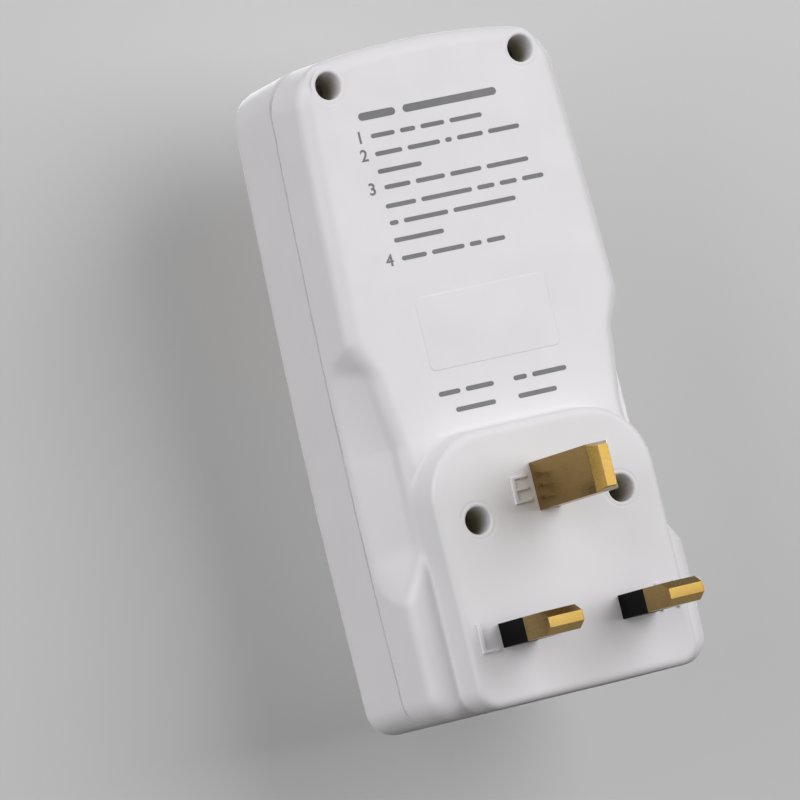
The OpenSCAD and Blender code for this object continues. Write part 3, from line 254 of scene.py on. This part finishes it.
def board_material(name, base):
    """Lacquered board with faint tracks under the lacquer."""
    material, tree, main, place = shader(name, base, 0.38)
    mapping = tree.nodes.new("ShaderNodeMapping")
    mapping.inputs["Scale"].default_value = (1, 0.001, 1)
    tree.links.new(place, mapping.inputs["Vector"])
    tracks = tree.nodes.new("ShaderNodeTexVoronoi")
    tracks.distance = "CHEBYCHEV"
    tracks.feature = "DISTANCE_TO_EDGE"
    tracks.inputs["Scale"].default_value = 240
    tree.links.new(mapping.outputs["Vector"], tracks.inputs["Vector"])
    paler = tuple(min(1, c * 1.5 + 0.02) for c in base)
    edge = tracks.outputs["Distance"]
    tree.links.new(ramp(tree, edge, paler, base, (0.04, 0.09)), main.inputs["Base Color"])
    bump(tree, main, [(edge, 0.2, 0.02), (noise(tree, place, 2500), 0.15, 0.01)])
    return material


def wound(name, base, across, pitch):
    """Wound enamelled wire, its turns drawn as fine ridges along one axis, with painted shade in the
    grooves between turns.
    """
    material, tree, main, place = shader(name, base, 0.3, 1.0)
    ridges = tree.nodes.new("ShaderNodeTexWave")
    ridges.wave_type = "BANDS"
    ridges.bands_direction = across
    ridges.wave_profile = "SIN"
    ridges.inputs["Scale"].default_value = 0.314 / (pitch * MM)
    ridges.inputs["Distortion"].default_value = 0.6
    tree.links.new(place, ridges.inputs["Vector"])
    # Painted shade: the grooves between turns are darker
    darker = tuple(c * 0.45 for c in base)
    tree.links.new(ramp(tree, ridges.outputs["Fac"], darker, base, (0.0, 0.5)), main.inputs["Base Color"])
    bump(tree, main, [(ridges.outputs["Fac"], 0.8, 0.08)])
    return material


def recess_shade_material(mouth):
    """White plastic with painted shade: its tone goes to a greyish brown with depth behind a recess mouth.
    """
    material, tree, main, place = shader("recess_%d" % -mouth, WHITE, 0.5)
    # Painted shade: the colour darkens with depth below the mouth
    depth = tree.nodes.new("ShaderNodeSeparateXYZ")
    tree.links.new(place, depth.inputs["Vector"])
    span_node = tree.nodes.new("ShaderNodeMapRange")
    span_node.inputs["From Min"].default_value = (mouth - RECESS_SHADE_FROM) * MM
    span_node.inputs["From Max"].default_value = (mouth - RECESS_SHADE_TO) * MM
    tree.links.new(depth.outputs["Y"], span_node.inputs["Value"])
    tone = ramp(tree, span_node.outputs["Result"], WHITE, RECESS_SHADE, (0.0, 1.0))
    tree.links.new(tone, main.inputs["Base Color"])
    bump(tree, main, [(noise(tree, place, 2600, 3), 0.3, 0.02)])
    return material


def clear(name):
    """Clear plastic pane with a faint ripple."""
    material, tree, main, place = shader(name, (0.95, 0.96, 0.96), 0.06)
    main.inputs["Transmission Weight"].default_value = 1.0
    main.inputs["IOR"].default_value = 1.49
    bump(tree, main, [(noise(tree, place, 160, 1), 0.2, 0.02)])
    return material


WHITE = (0.785, 0.77, 0.79)
# Colour of the painted shade deep in the screw recesses
RECESS_SHADE = (0.42, 0.385, 0.29)
BRASS = (0.34, 0.225, 0.066)
ALONG_Y = (1, 0.04, 1)
ALONG_X = (0.04, 1, 1)
looks = {
    "shell_white": plastic("shell_white", WHITE, 0.42),
    "pin_brass": metal("pin_brass", BRASS, 0.22, ALONG_Y, 0.2, (0.3, 0.186, 0.047)),
    "sleeve_black": plastic("sleeve_black", (0.003, 0.003, 0.003), 0.5, 0.4, 0.3, 0.06, 0.04),
    "screw_steel": metal("screw_steel", (0.36, 0.35, 0.32), 0.42, ALONG_X, 0.4),
    "spring_steel": metal("spring_steel", (0.56, 0.56, 0.55), 0.24, ALONG_Y, 0.3),
    "copper": metal("copper", (0.72, 0.4, 0.24), 0.3, ALONG_X, 0.35, (0.5, 0.25, 0.15)),
    "insulator": plastic("insulator", (0.66, 0.63, 0.55), 0.5),
    "ferrite": plastic("ferrite", (0.045, 0.045, 0.048), 0.62, 0.6, 0.25),
    "board_green": board_material("board_green", (0.03, 0.16, 0.07)),
    "black_plastic": plastic("black_plastic", (0.02, 0.02, 0.021), 0.42, 0.3, 0.3),
    "varistor_blue": plastic("varistor_blue", (0.03, 0.09, 0.34), 0.33, 0.35, 0.2),
    "resistor_tan": plastic("resistor_tan", (0.5, 0.36, 0.2), 0.42, 0.3, 0.15),
    "reset_green": plastic("reset_green", (0.045, 0.3, 0.09), 0.38, 0.25, 0.08),
    "test_yellow": plastic("test_yellow", (0.83, 0.56, 0.04), 0.38, 0.25, 0.06),
    "flag_orange": plastic("flag_orange", (0.86, 0.24, 0.02), 0.45, 0.25, 0.06),
    "clear_pane": clear("clear_pane"),
}
core_copper = wound("core_winding", (0.66, 0.33, 0.16), "Z", 0.5)
coil_copper = wound("coil_winding", (0.66, 0.33, 0.16), "Z", 0.4)
ink = plastic("print_grey", (0.19, 0.19, 0.2), 0.55, 0.2, 0.15)

# CAD nodes that stay, each with the finish of its slot and a fine bevel on its edges
slot_of = {}
for part in frame["record"]["subparts"]:
    slot_of[part["node"]] = part["material_slot"]
own_look = {"sensing_winding": core_copper, "coil_winding": coil_copper}
BEVEL = 0.12
RIM_BEVEL = 0.04
EDGE_ANGLE = 35
PIN_EDGE_ANGLE = 20
WELD = 0.001
for name, obj in frame["nodes"].items():
    obj.data.materials.clear()
    obj.data.materials.append(own_look.get(name) or looks[slot_of[name]])
    smooth(obj)
    weld = obj.modifiers.new("weld", "WELD")
    weld.merge_threshold = WELD * MM
    soft = obj.modifiers.new("soft edges", "BEVEL")
    soft.width = (RIM_BEVEL if name == "front_shell" else BEVEL) * MM
    soft.segments = 2
    soft.limit_method = "ANGLE"
    soft.angle_limit = math.radians(PIN_EDGE_ANGLE if name.endswith("_pin") else EDGE_ANGLE)
    soft.harden_normals = True
    even = obj.modifiers.new("even normals", "WEIGHTED_NORMAL")
    even.keep_sharp = True


# Rear moulding as a distance field, so that its edges, grips and foot run together softly
def ease(value, low, high):
    """Smooth step from 0 to 1."""
    t = np.clip((value - low) / (high - low), 0, 1)
    return t * t * (3 - 2 * t)


def round_max(a, b, r):
    """Common part of two fields with its outer edge rounded."""
    return np.minimum(np.maximum(a, b), -r) + np.hypot(np.maximum(a + r, 0), np.maximum(b + r, 0))


def fillet_min(a, b, r):
    """Joined fields with a hollow fillet between them."""
    return np.maximum(np.minimum(a, b), r) - np.hypot(np.maximum(r - a, 0), np.maximum(r - b, 0))


def soft_ramp(value, width):
    """Zero below, the value itself above, and a round bend between them."""
    bend = (value + width) ** 2 / (4 * width)
    return np.where(value < -width, 0, np.where(value > width, value, bend))


def fade_in(value):
    """Zero below 0, one above 1, with a round bend at each end."""
    return 1 - soft_ramp(1 - soft_ramp(value, FADE_START), FADE_END)


def grip(y, z):
    """Depth of the finger grips: a slanted cut with a swept upper end and an arched lower end."""
    depth = REAR_Y - PART_Y
    slant = soft_ramp(y - PART_Y - GRIP_LIP, GRIP_LIP) / (depth - REAR_EDGE_R - GRIP_LIP)
    deep = (GRIP_DEPTH - GRIP_TAPER * np.maximum(z - PLAT_TOP, 0)) * (1 - soft_ramp(1 - slant, GRIP_CREASE))
    back = np.clip(REAR_Y - y, 0, depth)
    arch = np.sqrt(np.maximum(1 - (back / depth) ** 2, GRIP_ARCH_MIN))
    below = fade_in(((z - GRIP_LOW) / GRIP_REACH - 1) / arch + 1)
    fade = np.maximum(GRIP_FADE - GRIP_TIGHT * back, GRIP_FADE_MIN)
    above = fade_in((GRIP_HIGH - GRIP_SWEEP * back - z) / fade)
    return deep * below * above


def body_outline(x, y, z):
    """Sides, crown and bottom of the body, with draft."""
    lean = REAR_DRAFT * np.clip((y - PART_Y) / (REAR_Y - PART_Y), 0, 1)
    side = np.hypot(np.abs(x) - HALF_W + SIDE_R, z - WIDEST_Z) - SIDE_R + lean + grip(y, z)
    crown = np.hypot(x, z - TOP_Z + CROWN_R) - CROWN_R + lean
    top = round_max(side, crown, TOP_CORNER_R)
    return round_max(top, BOTTOM_Z - z, BOTTOM_CORNER_R)


def platform(x, y, z):
    """Plug platform."""
    lean = PLAT_DRAFT * np.clip((y - REAR_Y) / -REAR_Y, 0, 1)
    side = np.abs(x) - PLAT_HALF + lean
    top = round_max(side, z - PLAT_TOP + lean, PLAT_CORNER_R)
    outline = round_max(top, BOTTOM_Z - z, PLAT_LOW_R)
    solid = round_max(outline, y, PLAT_EDGE_R)
    return np.maximum(solid, PART_Y - y)


def rear_outside(x, y, z):
    """Outer form of the rear moulding."""
    cut = np.clip(grip(REAR_Y, z) / GRIP_DEPTH, 0, 1)
    edge_r = REAR_EDGE_R + (GRIP_EDGE_R - REAR_EDGE_R) * cut
    body = round_max(body_outline(x, y, z), y - REAR_Y, edge_r)
    foot = FOOT_FILLET * ease(z, BOTTOM_Z, BOTTOM_Z + FOOT_FADE) + FOOT_LEAST
    return fillet_min(body, platform(x, y, z), foot)


def rear_field(x, y, z):
    """Whole rear moulding: hollow, with screw tubes, recesses and a fine gap at the parting line."""
    outer = rear_outside(x, y, z)
    gap = np.maximum(y - PART_Y - PART_GAP, -(outer + PART_REBATE))
    field = np.maximum(np.maximum(outer, PART_Y - y), -gap)
    field = np.maximum(field, -(outer + WALL))
    for (sx, sz), mouth in ((UPPER_SCREW, REAR_Y), (LOWER_SCREW, 0)):
        around = np.hypot(np.abs(x) - sx, z - sz)
        tube = np.maximum(around - TUBE_R, np.maximum(PART_Y - y, y - mouth + WALL / 2))
        field = np.minimum(field, tube)
        recess = np.maximum(around - RECESS_R - RECESS_WALL, PART_Y + SEAT_T - y)
        field = round_max(field, -recess, RECESS_MOUTH_R)
    return field


def steps(*spans):
    """Grid lines from (end, step) spans that follow one another."""
    lines = [spans[0][0]]
    for end, step in spans[1:]:
        count = max(1, round((end - lines[-1]) / step))
        lines.extend(np.linspace(lines[-1], end, count + 1)[1:])
    return np.array(lines)


def surface_net(field, xs, ys, zs):
    """Points and quads of the zero surface of a field on a grid of uneven steps."""
    values = field(xs[:, None, None], ys[None, :, None], zs[None, None, :])
    inside = values < 0
    cells = tuple(n - 1 for n in values.shape)
    corners = list(itertools.product((0, 1), repeat=3))

    def corner(array, c):
        return array[c[0]:c[0] + cells[0], c[1]:c[1] + cells[1], c[2]:c[2] + cells[2]]

    count = sum(corner(inside, c).astype(int) for c in corners)
    mixed = (count > 0) & (count < len(corners))
    where = np.argwhere(mixed)
    index = np.full(cells, -1)
    index[mixed] = np.arange(len(where))
    total = np.zeros((len(where), 3))
    hits = np.zeros(len(where))
    grid = (xs, ys, zs)
    for axis in range(3):
        for c in (c for c in corners if c[axis] == 0):
            d = tuple(v + (k == axis) for k, v in enumerate(c))
            a = corner(values, c)[mixed]
            b = corner(values, d)[mixed]
            cross = (a < 0) != (b < 0)
            share = np.where(cross, a / np.where(cross, a - b, 1), 0)
            for k in range(3):
                low = grid[k][where[:, k] + c[k]]
                high = grid[k][where[:, k] + d[k]]
                total[:, k] += cross * (low + share * (high - low))
            hits += cross
    points = total / hits[:, None]
    quads = []
    for axis in range(3):
        u, v = (axis + 1) % 3, (axis + 2) % 3
        filled = np.transpose(inside, (axis, u, v))
        cell = np.transpose(index, (axis, u, v))
        flips = filled[:-1, 1:-1, 1:-1] != filled[1:, 1:-1, 1:-1]
        i, j, k = np.nonzero(flips)
        ring = np.stack([cell[i, j, k], cell[i, j + 1, k], cell[i, j + 1, k + 1], cell[i, j, k + 1]], 1)
        outward = filled[i, j + 1, k + 1]
        quads.append(np.where(outward[:, None], ring, ring[:, ::-1]))
    return points, np.concatenate(quads)


LEAST_SLOPE = 0.2


def settle(field, points, rounds=5, probe=0.01, reach=0.4):
    """Moves points onto the surface of a field along its slope."""
    start = points.copy()
    for _ in range(rounds):
        value = field(*points.T)
        rises = []
        for axis in np.eye(3):
            ahead = field(*(points + probe * axis).T)
            behind = field(*(points - probe * axis).T)
            rises.append((ahead - behind) / (2 * probe))
        slope = np.stack(rises, 1)
        size = np.maximum((slope ** 2).sum(1), LEAST_SLOPE)
        points = points - (value / size)[:, None] * slope
    far = np.linalg.norm(points - start, axis=1) > reach
    points[far] = start[far]
    return points


xs = steps((-HALF_W - 0.3,), (-14, 0.45), (14, 0.7), (HALF_W + 0.3, 0.45))
ys = steps(
    (PART_Y - 0.15,), (PART_Y + 0.65, 0.1), (PART_Y + 1.7, 0.21), (REAR_Y - 3.2, 0.5), (REAR_Y + 2.2, 0.3),
    (-1.4, 0.45), (0.3, 0.2),
)
zs = steps((BOTTOM_Z - 0.3,), (PLAT_TOP + 3, 0.5), (88, 0.7), (TOP_Z + 0.3, 0.4))
points, quads = surface_net(rear_field, xs, ys, zs)
points = settle(rear_field, points)
rear = new_mesh("rear_moulding", points.tolist(), quads.tolist())


def box_verts(x, y, z):
    """Corners of a box between two values on each axis."""
    return [(x[i], y[j], z[k]) for i in (0, 1) for j in (0, 1) for k in (0, 1)]


BOX_FACES = [(0, 1, 3, 2), (4, 6, 7, 5), (0, 4, 5, 1), (2, 3, 7, 6), (0, 2, 6, 4), (1, 5, 7, 3)]

# Holes that the pins stand in
hole_verts = []
hole_faces = []
for pin in ("earth_pin", "line_pin_sleeve", "neutral_pin_sleeve"):
    x, z = span(pin, 0), span(pin, 2)
    if pin == "earth_pin":
        wide, tall = EARTH_SECTION
        x = (-wide / 2, wide / 2)
        z = (EARTH_Z - tall / 2, EARTH_Z + tall / 2)
    x = (x[0] - PIN_FIT, x[1] + PIN_FIT)
    z = (z[0] - PIN_FIT, z[1] + PIN_FIT)
    start = len(hole_verts)
    hole_verts += box_verts(x, (-2 * WALL, 1), z)
    hole_faces += [tuple(start + i for i in f) for f in BOX_FACES]
cutter = new_mesh("pin_holes", hole_verts, hole_faces)
cut = rear.modifiers.new("pin holes", "BOOLEAN")
cut.operation = "DIFFERENCE"
cut.solver = "EXACT"
cut.object = cutter
bpy.context.view_layer.update()
applied(rear)
bpy.data.objects.remove(cutter)
smooth(rear, 38)
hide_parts("rear_shell")
dress(rear, looks["shell_white"])


def turned(name, profile, centre, sides=72):
    """Closed ring about the Y axis from a profile of radius and Y."""
    ring = len(profile)
    verts = []
    for i in range(sides):
        a = 2 * math.pi * i / sides
        verts += [(centre[0] + r * math.cos(a), y, centre[1] + r * math.sin(a)) for r, y in profile]
    faces = []
    for i in range(sides):
        j = (i + 1) % sides
        for k in range(ring):
            m = (k + 1) % ring
            faces.append((i * ring + k, i * ring + m, j * ring + m, j * ring + k))
    return smooth(new_mesh(name, verts, faces), 50)


# Screw recesses with a soft lip, with shade painted darker with depth
for label, (sx, sz), mouth in (("upper", UPPER_SCREW, REAR_Y), ("lower", LOWER_SCREW, 0)):
    look = recess_shade_material(mouth)
    seat = PART_Y + SEAT_T
    inner_r = RECESS_R - RECESS_IN
    outer_r = RECESS_R + RECESS_WALL - LINING_FIT
    lip_y = mouth + LIP_RISE
    low_y = seat + LINING_LIFT
    profile = [(RECESS_R + RECESS_LIP, mouth - LIP_SINK), (RECESS_R + 0.5 * RECESS_LIP, lip_y)]
    for i in range(LIP_STEPS + 1):
        a = math.pi / 2 * i / LIP_STEPS
        profile.append((inner_r + LIP_ROUND * (1 - math.sin(a)), lip_y - LIP_ROUND * (1 - math.cos(a))))
    profile += [(inner_r, low_y), (outer_r, low_y), (outer_r, mouth - LIP_ROUND)]
    for side, x in (("line", sx), ("neutral", -sx)):
        lining = turned("recess_%s_%s" % (label, side), profile, (x, sz))
        dress(lining, look)
    # Faces in the recess walls take the painted recess shade
    rear.data.materials.append(look)
    slot_index = len(rear.data.materials) - 1
    for face in rear.data.polygons:
        x, y, z = face.center / MM
        around = math.hypot(abs(x) - sx, z - sz)
        if around < RECESS_R + RECESS_WALL + 0.1 and PART_Y < y < mouth - 1:
            face.material_index = slot_index


# Springs as finer coils
def coil(name, centre, low, high, outer_d, wire_d, turns, axis):
    """Compression spring with closed ends between two planes, along Y or Z."""
    ring = 28
    wire_sides = 10
    radius = (outer_d - wire_d) / 2
    count = ring * turns
    verts = []
    for i in range(count + 1):
        turn = i / ring
        t = min(max((turn - 0.5) / (turns - 1), 0), 1)
        along = low + wire_d / 2 + (high - low - wire_d) * t
        a = 2 * math.pi * turn
        for k in range(wire_sides):
            b = 2 * math.pi * k / wire_sides
            out = radius + wire_d / 2 * math.cos(b)
            x = centre[0] + out * math.cos(a)
            v = out * math.sin(a)
            w = along + wire_d / 2 * math.sin(b)
            verts.append((x, w, centre[1] - v) if axis == 1 else (x, centre[1] + v, w))
    faces = [tuple(range(wire_sides))[::-1], tuple(range(count * wire_sides, (count + 1) * wire_sides))]
    for i in range(count):
        for k in range(wire_sides):
            j = (k + 1) % wire_sides
            a, b = i * wire_sides, (i + 1) * wire_sides
            faces.append((a + k, a + j, b + j, b + k))
    return smooth(new_mesh(name, verts, faces), 60)


def middle(node, axis):
    """Middle of a CAD node along one axis."""
    return sum(span(node, axis)) / 2


def spring(node, axis, wire_d, turns, piece, at_x=None):
    """Replaces a spring node by a coil over the same span, which rides on the housing."""
    third = 2 if axis == 1 else 1
    low, high = span(node, axis)
    a, b = span(node, third)
    centre = (middle(node, 0) if at_x is None else at_x, (a + b) / 2)
    obj = coil(piece, centre, low, high, b - a, wire_d, turns, axis)
    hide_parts(node)
    dress(obj, looks["spring_steel"])
    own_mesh(obj)


spring("reset_spring", 1, 0.5, 5, "reset_coil")
spring("test_spring", 1, 0.5, 5, "test_coil")
spring("shutter_spring", 2, 0.45, 4, "shutter_coil")
spring("plunger_spring", 2, 0.4, 4, "plunger_coil")
opening = span("opening_springs", 0)
opening_d = span("opening_springs", 2)[1] - span("opening_springs", 2)[0]
for side, tag in ((opening[0] + opening_d / 2, "neutral"), (opening[1] - opening_d / 2, "line")):
    spring("opening_springs", 1, 0.45, 5, "opening_coil_" + tag, side)


# Raised pole letters beside the pins, and plain marks in place of the printing
CAPITAL = 0.69


def letter(name, text, height, centre, face_y, lift, front=False, wide=1.0, weight=0.0, edge=0.05):
    """Raised capital on a face, read from the rear, or from the front."""
    curve = bpy.data.curves.new(name, "FONT")
    curve.body = text
    curve.align_x = "CENTER"
    curve.align_y = "CENTER"
    curve.size = height * MM / CAPITAL
    curve.extrude = lift * MM
    curve.offset = weight * MM
    curve.bevel_depth = edge * MM
    curve.bevel_resolution = 2
    obj = bpy.data.objects.new(name + "_curve", curve)
    scene.collection.objects.link(obj)
    bpy.context.view_layer.update()
    mesh = bpy.data.meshes.new_from_object(obj.evaluated_get(bpy.context.evaluated_depsgraph_get()))
    bpy.data.objects.remove(obj)
    way = -1 if front else 1
    turn = Matrix(((-way * wide, 0, 0), (0, 0, way), (0, 1, 0))).to_4x4()
    mesh.transform(Matrix.Translation(Vector((centre[0], face_y, centre[1])) * MM) @ turn)
    piece = bpy.data.objects.new(name, mesh)
    scene.collection.objects.link(piece)
    return smooth(piece, 40)


LETTER_LIFT = 0.32
LETTER_THIN = -0.18
LETTER_EDGE = 0.13
BUTTON_LETTER = 4.2
BUTTON_LIFT = 0.15
for name, text, height, wide, place in (
    ("earth_mark", "E", 4.6, 1.2, (4.75, 22)),
    ("line_mark", "L", 5.05, 1.1, (16.9, -0.1)),
    ("neutral_mark", "N", 4.8, 0.85, (-16.9, -0.1)),
):
    mark = letter(name, text, height, place, 0, LETTER_LIFT, False, wide, LETTER_THIN, LETTER_EDGE)
    dress(mark, looks["shell_white"])
for name, text, body, node in (
    ("reset_mark", "R", "reset", "reset_button"),
    ("test_mark", "T", "test", "test_button"),
):
    place = (middle(node, 0), middle(node, 2))
    mark = letter(name, text, BUTTON_LETTER, place, span(node, 1)[0], BUTTON_LIFT, True)
    dress(mark, looks[slot_of[node]], body)


def pad(name, outline, lift, edge):
    """Low plain pad with a rounded rim on the rear face, from an outline in X and Z."""
    ring, steps_up, sink = len(outline), 6, 0.05
    middle_x, middle_z = (sum(p[k] for p in outline) / ring for k in (0, 1))
    verts = [(x, REAR_Y - sink, z) for x, z in outline]
    for i in range(steps_up + 1):
        a = math.pi / 2 * i / steps_up
        for x, z in outline:
            away = Vector((middle_x - x, middle_z - z))
            inward = away.normalized() * edge * (1 - math.cos(a))
            verts.append((x + inward.x, REAR_Y + lift * math.sin(a), z + inward.y))
    faces = [tuple(range(ring)), tuple(range((steps_up + 1) * ring, (steps_up + 2) * ring))[::-1]]
    for i in range(steps_up + 1):
        for k in range(ring):
            j = (k + 1) % ring
            faces.append((i * ring + k, (i + 1) * ring + k, (i + 1) * ring + j, i * ring + j))
    return smooth(new_mesh(name, verts, faces), 60)


# Bare insert in the rear face
INSERT_AT = (0, 50.4)
INSERT_HALF = (12.1, 6.1)
INSERT_CORNER = 1
INSERT_LIFT = 0.08
INSERT_EDGE = 0.2
insert = []
for quarter, (sx, sz) in enumerate(((1, 1), (-1, 1), (-1, -1), (1, -1))):
    corner_x = INSERT_AT[0] + sx * (INSERT_HALF[0] - INSERT_CORNER)
    corner_z = INSERT_AT[1] + sz * (INSERT_HALF[1] - INSERT_CORNER)
    for i in range(6):
        a = math.radians(90 * quarter + 90 * i / 5)
        insert.append((corner_x + INSERT_CORNER * math.cos(a), corner_z + INSERT_CORNER * math.sin(a)))
dress(pad("bare_insert", insert, INSERT_LIFT, INSERT_EDGE), looks["shell_white"])

INK_T = 0.03
NUMBER_HEIGHT = 1.9
NUMBER_X = 14.6


def bars(name, rows):
    """Flat printed bars on the rear face, each row (Z, height, list of start and end)."""
    verts, faces = [], []
    for z, tall, runs in rows:
        for start, end in runs:
            r = tall / 2
            low, high = min(start, end) + r, max(start, end) - r
            outline = []
            for mid, a0 in ((high, -90), (low, 90)):
                for i in range(7):
                    a = math.radians(a0 + 180 * i / 6)
                    outline.append((mid + r * math.cos(a), z + r * math.sin(a)))
            first = len(verts)
            n = len(outline)
            for y in (REAR_Y - INK_T, REAR_Y + INK_T):
                verts += [(px, y, pz) for px, pz in outline]
            faces.append(tuple(first + i for i in range(n)))
            faces.append(tuple(first + n + i for i in range(n))[::-1])
            for i in range(n):
                j = (i + 1) % n
                faces.append((first + i, first + n + i, first + n + j, first + j))
    return new_mesh(name, verts, faces)


# Heading, numbered rows and rating rows, as plain bars and numerals
rows = [
    (87.2, 1.3, [(14.0, 7.2), (5.8, -11.6)]),
    (83.8, 0.75, [(12.6, 8.2), (7.2, 4.4), (3.4, -1.0), (-2.0, -8.0)]),
    (80.8, 0.75, [(12.6, 7.6), (6.6, 0.6), (-0.4, -1.6), (-2.6, -7.4), (-8.4, -14.2)]),
    (77.9, 0.75, [(12.9, 4.8)]),
    (75.2, 0.75, [(12.4, 7.6), (6.6, 1.2), (0.2, -5.6), (-6.6, -14.4)]),
    (72.1, 0.75, [(13.0, 7.4), (6.4, -3.0), (-4.0, -7.2), (-8.2, -11.4), (-12.4, -16.4)]),
    (69.3, 0.75, [(13.0, 11.4), (10.4, 2.2), (1.2, -10.4)]),
    (66.4, 0.75, [(13.0, 3.8)]),
    (63.3, 0.75, [(12.4, 7.8), (6.8, 0.8), (-0.2, -2.4), (-3.4, -6.8)]),
    (40.4, 0.8, [(11.8, 7.8), (6.8, 1.6), (-2.1, -4.6), (-5.6, -12.0)]),
    (37.4, 0.8, [(9.4, 2.0), (-2.2, -9.4)]),
]
dress(bars("print_bars", rows), ink)
for number, z in (("1", 83.8), ("2", 80.8), ("3", 75.2), ("4", 63.3)):
    mark = letter("print_" + number, number, NUMBER_HEIGHT, (NUMBER_X, z), REAR_Y, INK_T / 2)
    dress(mark, ink)

# Camera at the photograph's place
camera = bpy.data.objects.new("camera", bpy.data.cameras.new("camera"))
scene.collection.objects.link(camera)
scene.camera = camera
SENSOR = 36
FOCAL_PIXELS = 7388.7
IMAGE_PIXELS = 800
camera.data.sensor_width = SENSOR
camera.data.lens = SENSOR * FOCAL_PIXELS / IMAGE_PIXELS
camera.data.clip_end = 20
EYE = Vector((543.22, 1065.13, -17.47)) * MM
RIGHT = Vector((-0.87741, 0.41654, -0.23799))
DOWN = Vector((0.19312, -0.14744, -0.97004))
AHEAD = Vector((-0.43915, -0.89708, 0.04892))
turn = Matrix((RIGHT, -DOWN, -AHEAD)).transposed().to_4x4()
camera.matrix_world = Matrix.Translation(EYE) @ turn


# Pale floor and backdrop, each seen from its own side only
def stage_material(name, base):
    """Plain matt surface that is clear from behind."""
    material, tree, main, _ = shader(name, (base, base, base), 0.9)
    main.inputs["Specular IOR Level"].default_value = 0.1
    facing = tree.nodes.new("ShaderNodeNewGeometry").outputs["Backfacing"]
    gone = tree.nodes.new("ShaderNodeBsdfTransparent")
    mix = tree.nodes.new("ShaderNodeMixShader")
    tree.links.new(facing, mix.inputs["Fac"])
    tree.links.new(main.outputs["BSDF"], mix.inputs[1])
    tree.links.new(gone.outputs["BSDF"], mix.inputs[2])
    tree.links.new(mix.outputs["Shader"], tree.nodes["Material Output"].inputs["Surface"])
    return material


STAGE = 1500
BACK_GAP = 18
FLOOR_GAP = 0.05
BACK_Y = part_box("reset_button")[0].y / MM - BACK_GAP
FLOOR_Z = BOTTOM_Z - FLOOR_GAP
FLOOR_TONE = 0.74
BACK_TONE = 0.64
SQUARE = ((-STAGE, -STAGE), (STAGE, -STAGE), (STAGE, STAGE), (-STAGE, STAGE))
floor = new_mesh("floor", [(x, y, FLOOR_Z) for x, y in SQUARE], [(0, 1, 2, 3)])
floor.data.materials.append(stage_material("floor_pale", FLOOR_TONE))
floor.visible_diffuse = False
floor.visible_shadow = False
backdrop = new_mesh("backdrop", [(x, BACK_Y, z) for z, x in SQUARE], [(0, 1, 2, 3)])
backdrop.data.materials.append(stage_material("backdrop_pale", BACK_TONE))
backdrop.visible_diffuse = False
backdrop.visible_glossy = False
backdrop.visible_transmission = False
backdrop.visible_shadow = False


# Soft studio light
def softbox(name, direction, distance, size, power):
    """Area lamp that faces the middle of the object."""
    lamp = bpy.data.lights.new(name, "AREA")
    lamp.shape = "SQUARE"
    lamp.size = size
    lamp.energy = power
    obj = bpy.data.objects.new(name, lamp)
    scene.collection.objects.link(obj)
    aim = Vector(direction).normalized()
    target = Vector((0, (FRONT_Y / 2) * MM, (TOP_Z + BOTTOM_Z) / 2 * MM))
    obj.location = target + aim * distance
    obj.rotation_euler = aim.to_track_quat("Z", "Y").to_euler()


softbox("key", (-0.55, 0.8, 0.25), 0.95, 0.85, 6.2)
softbox("fill", (1.0, 0.4, 0.45), 1.4, 1.3, 12.0)
softbox("front", (-0.55, -1.0, 0.2), 1.2, 0.8, 6.2)
world = bpy.data.worlds.new("studio")
scene.world = world
world.use_nodes = True
sky = world.node_tree
way = sky.nodes.new("ShaderNodeSeparateXYZ")
sky.links.new(sky.nodes.new("ShaderNodeTexCoord").outputs["Generated"], way.inputs["Vector"])
dome = ramp(sky, way.outputs["Z"], (0.17, 0.168, 0.165), (0.36, 0.36, 0.365), (0.0, 0.4))
sky.links.new(dome, sky.nodes["Background"].inputs["Color"])
